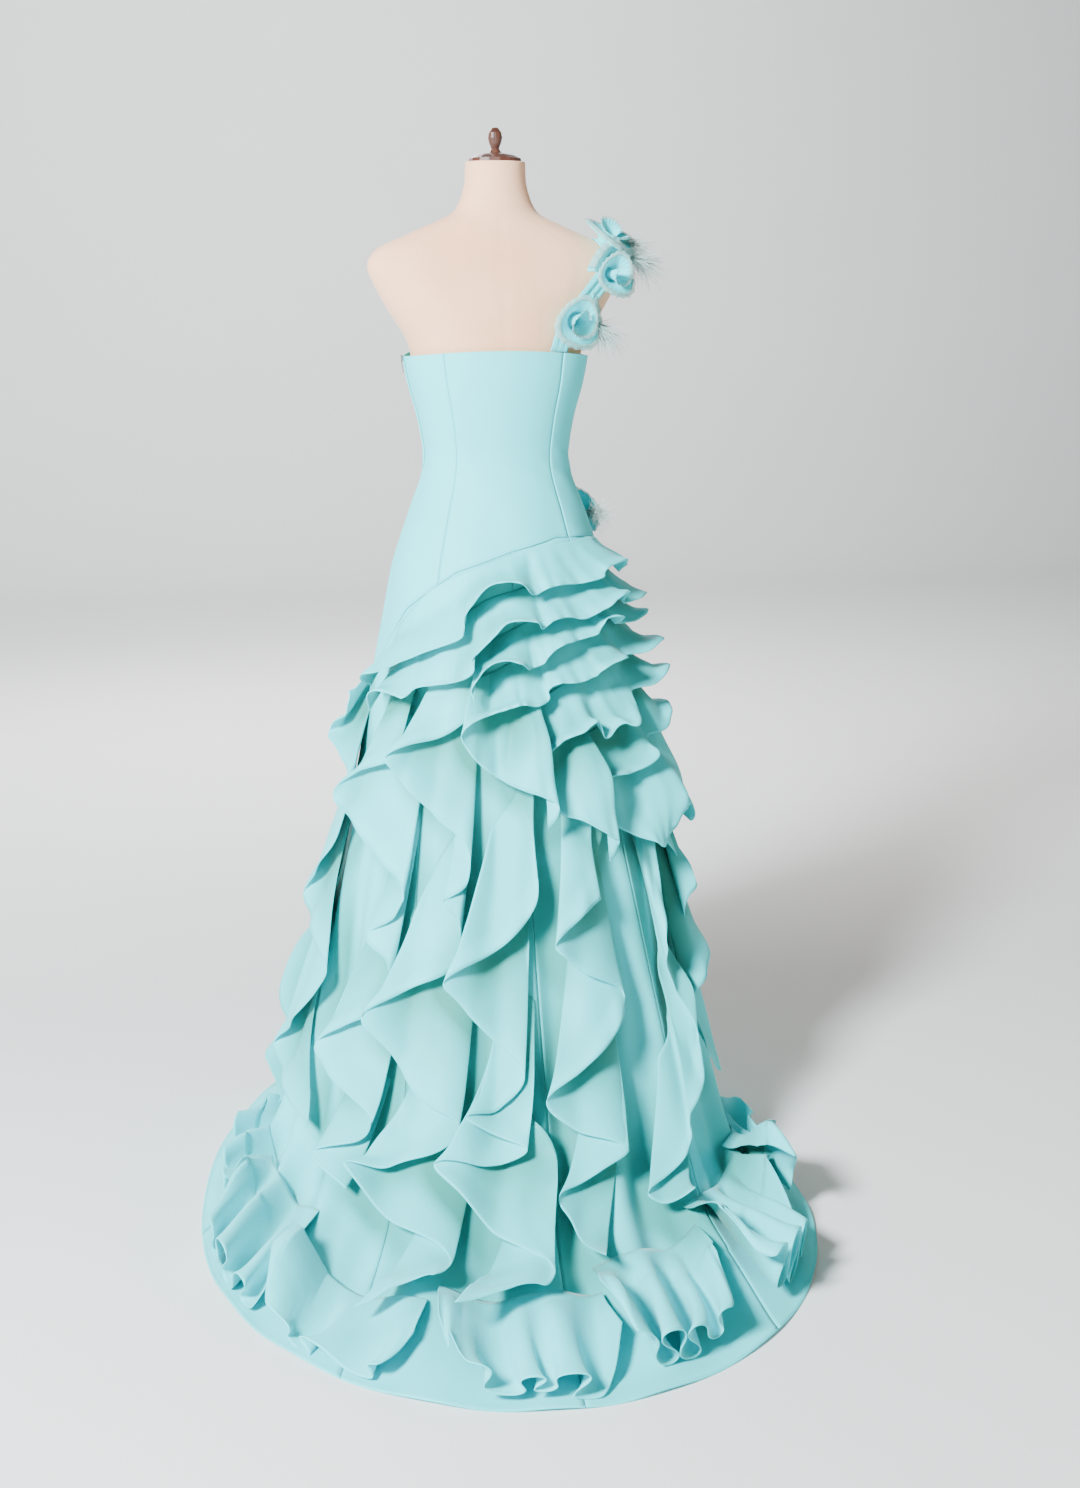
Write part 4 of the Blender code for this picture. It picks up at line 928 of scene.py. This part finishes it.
def curl(name, turn_from, turn_to, root_station, hem_station, tall, sway, loops, pile):
    """A flounce end whose hem stands in uneven loops, which lean outwards; its root lies flat,
    and its hem is cut away in a curve at both ends."""
    columns, deep = 28 * len(loops), 22
    turn = np.zeros((columns + 1, deep))
    lift, station = np.zeros_like(turn), np.zeros_like(turn)
    for k in range(deep):
        v = k / (deep - 1)
        share, height = meander(loops, 0.08 + 0.92 * v**1.3, columns)
        turn[:, k] = turn_from + (turn_to - turn_from) * share + sway * height * v**2
        ends = ease(share, -0.04, 0.16) * ease(1 - share, -0.04, 0.16)
        lift[:, k] = height * tall / 1000 * v
        lean = lift[:, k] * 1.2 * v
        drop = (hem_station - root_station) * v * (0.45 + 0.55 * ends)
        station[:, k] = root_station + drop + lean
    station = np.minimum(station, HEM_STATION - 0.02)
    lift = lift + pile.over(turn, station)
    laid(name, turn, station, lift, pile, ["skirt_gore_back_left_cloth"])


def paint_layer_shade(pile):
    """The attribute 'deep', painted shade: how far a place lies beneath the layers that end up
    over it, less on the open train. The crepe darkens by it towards its painted shade colour."""
    for piece, turn, station, lift in pile.pieces:
        above = np.clip((pile.over(turn, station) - lift - 0.008) / 0.045, 0, 1)
        above = (above * (1 - 0.75 * ease(station, 12.3, 13.3))).ravel()
        deep = np.concatenate([above, above])
        piece.data.attributes.new("deep", "FLOAT", "POINT").data.foreach_set("value", deep)


def flounces(pile):
    """Laid from the lowest to the one on top."""
    for name, sizes in TRAIN_CURLS.items():
        curl(name, *sizes, pile)
    for name, (root_turn, hem) in list(CASCADES.items())[:5]:
        flounce(name, cascade_rows(root_turn, hem), pile)
    for name, sizes in FRONT_CASCADES.items():
        flounce(name, front_cascade_rows(*sizes), pile)
    for name in ("front_tier_4", "front_tier_3", "front_tier_2", "front_tier_1"):
        flounce(name, front_tier_rows(*FRONT_TIERS[name]), pile, 1.25)
    flounce("tier_6", tier_rows(*TIERS["tier_6"]), pile, 1.0)
    flounce("cascade_back_right", cascade_rows(*CASCADES["cascade_back_right"]), pile)
    flounce("tier_5", tier_rows(*TIERS["tier_5"]), pile, 1.0)
    flounce("cascade_back", cascade_rows(*CASCADES["cascade_back"]), pile)
    for name in ("tier_4", "tier_3", "tier_2", "tier_1"):
        flounce(name, tier_rows(*TIERS[name]), pile, 1.0)


# Strap, rosettes, feathers and zip

def strap_frame(share):
    """Middle, across and out directions of the strap at shares of its length."""
    at = np.asarray(share, float) * (len(STRAP_LINE) - 1)
    turn, row = np.moveaxis(smooth_rows(STRAP_LINE, at), -1, 0)
    middle = form_skin(turn, row)
    step = 0.02
    ahead = smooth_rows(STRAP_LINE, at + step) - smooth_rows(STRAP_LINE, at - step)
    ahead_turn, ahead_row = np.moveaxis(ahead, -1, 0)
    along = form_skin(turn + ahead_turn, row + ahead_row) - form_skin(turn - ahead_turn,
                                                                     row - ahead_row)
    round_it = form_skin(turn + 0.5, row) - form_skin(turn - 0.5, row)
    up = form_skin(turn, row + 0.05) - form_skin(turn, row - 0.05)
    along, out = unit(along), unit(np.cross(round_it, -up))
    return middle, np.cross(along, out), out


def strap_spot(share):
    """Middle, across and out directions of the strap at one share of its length."""
    return (rows[0] for rows in strap_frame(np.array([share])))


def strap():
    """A band gathered into three soft pleats along its length, joined to the bodice's rim."""
    share, across = np.linspace(0, 1, 90), np.linspace(-1, 1, 26)
    middle, side, out = strap_frame(share)
    pleat = 0.0010 * (1 + np.sin(across * 8.2 + 0.5 * np.sin(share * 17)[:, None]))
    lift = 0.0010 + pleat * ease(1 - np.abs(across), 0, 0.15)
    points = (middle[:, None] + side[:, None] * (across * STRAP_HALF)[None, :, None]
              + out[:, None] * lift[..., None])
    for end, turn, half in STRAP_SEAMS:
        rim = skin(turn + half * across, 0 * across) + (0, 0, 0.001)
        near = ease(np.abs(share - share[end]), 0.0, 0.05)[:, None, None]
        points = points + (1 - near) * (rim - points[end])[None]
    away = np.broadcast_to(out[:, None], points.shape)
    dress_piece("shoulder_strap", points, ["form_cover"], away=away)


def petals(centre, across, out, radius, high, grown, wave, twist):
    """A strip wound into a rose: a spiral whose foot stays small while its rim flares, folds
    over at three corners to each turn and rises and falls between them."""
    along = np.cross(out, across)
    share = np.linspace(0, 1, 170)[:, None]
    v = np.linspace(0, 1, 20)[None, :]
    angle = 2 * np.pi * ROSETTE_TURNS * share + twist
    corner = 1 + wave * np.abs(np.cos(1.5 * angle))**3
    foot = radius * (0.10 + 0.26 * share)
    rim = radius * (0.26 + 0.74 * share) * corner * grown
    ripple = 0.0011 * np.sin(19 * angle) * v**4
    reach = foot + (rim - foot) * v**1.6 + ripple
    rise = high * (v - 0.62 * share * v**2.2) * (1 + 0.16 * np.cos(1.5 * angle + 1)) * grown
    rise = rise - 0.10 * high * ease(v, 0.86, 1.0) * (0.4 + share)
    return (centre + across * (reach * np.cos(angle))[..., None]
            + along * (reach * np.sin(angle))[..., None] + out * rise[..., None])


def rosette(name, centre, across, out, radius, high, twist):
    """Two strips rolled together, crepe over a slightly wider edge of organza."""
    centre = centre + out * 0.0035
    rose = petals(centre, across, out, radius, high, 0.95, 0.16, twist)
    away = np.broadcast_to(out, rose.shape)
    dress_piece(name, rose, ["shoulder_strap_cloth"], TRIM_WALL, away)
    centre = centre + out * 0.0012
    frill = petals(centre, across, out, radius, high, 1.0, 0.20, twist - 0.12)[:, 15:]
    edge = cloth(name + "_organza", frill, ORGANZA, ORGANZA_WALL, away[:, 15:])
    belong(edge)
    declare(frill, [name + "_cloth"])


def tuft(name, root, ahead, up, length, thick, seed):
    """Marabou: fine strands that leave a short quill, bend away from it and droop.

    Each strand is a three-sided tube, thinner towards its tip, on a curve
    start + way * t + droop * t squared. The UV map holds how far out along it a face lies."""
    chance, strands = np.random.default_rng(seed), STRANDS
    side = np.cross(up, ahead)
    start = chance.uniform(0.0, 0.45, strands)
    spin = chance.uniform(0, 2 * np.pi, strands)
    open_by = chance.uniform(0.05, 1.05, strands) ** 0.8
    way = (ahead * np.cos(open_by)[:, None] + side * (np.sin(open_by) * np.cos(spin))[:, None]
           + up * (np.sin(open_by) * np.sin(spin))[:, None])
    size = length * chance.uniform(0.42, 0.72, strands) * (1 - 0.35 * start)
    droop = chance.normal(0, 0.20, (strands, 3)) + (0, 0, -0.12)
    t = np.linspace(0, 1, 6)
    base = root + ahead * (start * length)[:, None] + up * 0.35 * thick
    line = (base[:, None] + (way * size[:, None])[:, None] * t[None, :, None]
            + (droop * size[:, None])[:, None] * (t**2)[None, :, None])
    tangent = unit(np.gradient(line, axis=1))
    one = unit(np.cross(tangent, np.array([0.31, 0.52, 0.79])))
    two = np.cross(tangent, one)
    thin = STRAND_RADIUS * (1 - 0.72 * t)[None, :, None]
    rings = np.stack([line + thin * (one * math.cos(a) + two * math.sin(a))
                      for a in (0.0, 2.094, 4.189)], axis=2)
    points = rings.reshape(-1, 3)
    strand, step, corner = np.meshgrid(np.arange(strands), np.arange(5), np.arange(3),
                                       indexing="ij")
    first = (strand * 18 + step * 3).ravel()
    here, there = first + corner.ravel(), first + (corner.ravel() + 1) % 3
    faces = np.stack([here, there, there + 3, here + 3], -1)
    foot = np.arange(strands)[:, None] * 18
    faces = faces.tolist() + (foot + [2, 1, 0]).tolist() + (foot + [15, 16, 17]).tolist()
    mesh = bpy.data.meshes.new(name)
    mesh.from_pydata(points.tolist(), [], faces)
    mesh.shade_smooth()
    shares = np.broadcast_to(t[None, :, None], (strands, 6, 3)).ravel()
    unfold(mesh, np.stack([0.5 + 0 * shares, shares], -1))
    belong(link(name + "_marabou", mesh, MARABOU), name)


def trim():
    """Rosettes and feathers on the strap, and one of each at the right hip."""
    for number, (name, share, radius, high) in enumerate(ROSETTES):
        rosette(name, *strap_spot(share), radius, high, 1.1 + 2.1 * number)
    for number, (name, share, length, thick) in enumerate(TUFTS):
        middle, across, out = strap_spot(share)
        root = middle + across * (STRAP_HALF + 0.008) + out * 0.012
        tuft(name, root, across, out, length, thick, 11 + number)
    spot = (np.array([HIP_ROSETTE_TURN]), np.array([HIP_ROSETTE_STATION]))
    out = outward(*spot)[0]
    across = unit(skin(spot[0] + 1, spot[1])[0] - skin(spot[0] - 1, spot[1])[0])
    base = skin(*spot)[0]
    rosette("rosette_hip", base, across, out, HIP_ROSETTE_RADIUS, 0.036, 0.4)
    root = base + across * (0.42 * HIP_ROSETTE_RADIUS) + out * 0.006
    tuft("tuft_hip", root, across, out, 0.062, 0.016, 23)


def boxes(name, centres, across, along, out, size):
    """Small steel blocks, one at each centre, each with three directions of its own."""
    corners = np.array([(x, y, z) for x in (-1, 1) for y in (-1, 1) for z in (-1, 1)], float)
    half = corners * np.array(size) / 2
    points = (centres[:, None] + half[None, :, :1] * across[:, None]
              + half[None, :, 1:2] * along[:, None] + half[None, :, 2:] * out[:, None])
    sides = np.array([(0, 1, 3, 2), (4, 6, 7, 5), (0, 4, 5, 1), (2, 3, 7, 6), (0, 2, 6, 4),
                      (1, 5, 7, 3)])
    faces = (np.arange(len(centres))[:, None, None] * 8 + sides[None]).reshape(-1, 4)
    mesh = bpy.data.meshes.new(name)
    mesh.from_pydata(points.reshape(-1, 3).tolist(), [], faces.tolist())
    belong(link(name, mesh, STEEL))


def side_zip():
    """Two tapes on the left side seam, a row of teeth between them and the slider at the top."""
    beside = np.array([-1.9, -1.2, -0.3, 0.0, 0.3, 1.2, 1.9])[:, None]
    share = np.linspace(0.01, 0.44, 60)[None, :]
    turn = ZIP_TURN + beside + 0 * share
    station = np.maximum(diagonal(turn) * share, 0.04)
    ridge = 0.0009 * (np.abs(beside) > 0.2) * (np.abs(beside) < 1.5)
    points = place(turn, station, 0.0026 + ridge + 0 * share)
    dress_piece("side_zip", points, ["bodice_side_back_left_cloth"], TRIM_WALL,
                outward(turn, station))
    at = np.linspace(ZIP_FROM, ZIP_TO, ZIP_TEETH)
    turn = ZIP_TURN + 0 * at
    middle, out = place(turn, at, 0.0034), outward(turn, at)
    along = unit(np.gradient(middle, axis=0))
    across = np.cross(along, out)
    sway = np.where(np.arange(len(at)) % 2, 0.0006, -0.0006)[:, None]
    boxes("zip_teeth", middle + across * sway, across, along, out, TOOTH)
    middle, across, along, out = (rows[1:2] for rows in (middle, across, along, out))
    boxes("zip_slider", middle + out * 0.0012, across, along, out, SLIDER)
    hang = middle + out * 0.0034 + along * 0.0125
    boxes("zip_pull", hang, across, along, out, PULL)


# Room, camera and light

def room():
    """A wide pale floor that curls up far behind into a pale wall."""
    x = np.linspace(-7, 7, 3)[:, None]
    share = np.linspace(0, 1, 60)[None, :]
    bend = np.clip((share - 0.7) / 0.2, 0, 1) * np.pi / 2
    y = 5.5 - 11.5 * np.minimum(share, 0.7) / 0.7 - 1.2 * np.sin(bend)
    z = 1.2 * (1 - np.cos(bend)) + 5.0 * np.clip((share - 0.9) / 0.1, 0, 1)
    points = np.stack([x + 0 * y, y + 0 * x, z + 0 * x - 0.0002], -1)
    mesh = bpy.data.meshes.new("floor")
    mesh.from_pydata(points.reshape(-1, 3).tolist(), [], grid_faces(3, 60)[:, ::-1].tolist())
    mesh.shade_smooth()
    finish = Finish("pale_floor", 0.9, Specular_IOR_Level=0.1)
    soft = finish.noise(finish.place(), 3.0, 3.0, 0.5)
    finish.set("Base Color", finish.mix(soft, rgb(0.80, 0.80, 0.80), rgb(0.83, 0.83, 0.83)))
    link("floor", mesh, finish.material)


def aim(thing, target):
    """Points a camera's or lamp's -Z at a place."""
    way = Vector(target) - thing.location
    thing.rotation_euler = way.to_track_quat("-Z", "Y").to_euler()


def lamp(name, place, target, size, energy, colour):
    """A round soft light."""
    light = bpy.data.lights.new(name, "AREA")
    light.shape, light.size, light.energy, light.color = "DISK", size, energy, colour
    thing = bpy.data.objects.new(name, light)
    bpy.context.collection.objects.link(thing)
    thing.location = place
    aim(thing, target)


def camera():
    """The photograph's view: from behind, ten degrees to the wearer's left, looking down."""
    yaw, pitch, far, height = math.radians(10), math.radians(13), 3.1, 1.35
    focus, across, tall, axis = 1900.0, 1080.0, 1488.0, 497.0
    lens = bpy.data.cameras.new("camera")
    lens.sensor_fit = "VERTICAL"
    lens.sensor_height = 36.0
    lens.lens = focus / tall * 36.0
    lens.clip_end = 60.0
    eye = bpy.data.objects.new("camera", lens)
    bpy.context.collection.objects.link(eye)
    eye.location = (math.sin(yaw) * far, math.cos(yaw) * far, height)
    off = math.atan((across / 2 - axis) / focus)
    eye.rotation_euler = (math.pi / 2 - pitch, 0.0, math.pi - yaw - off)
    bpy.context.scene.camera = eye


def world():
    """Dim, even light from all round."""
    around = bpy.data.worlds.new("soft_room")
    bpy.context.scene.world = around
    around.use_nodes = True
    back = around.node_tree.nodes["Background"]
    back.inputs["Color"].default_value = (0.88, 0.88, 0.87, 1)
    back.inputs["Strength"].default_value = 0.19


torso()
for node in ("stand_base", "stand_pole"):
    repaint(node, STEEL)
repaint("neck_cap", WOOD)
bodice()
pile = Pile()
underskirt(pile)
flounces(pile)
paint_layer_shade(pile)
strap()
trim()
side_zip()
room()
camera()
for sizes in LAMPS:
    lamp(*sizes)
world()
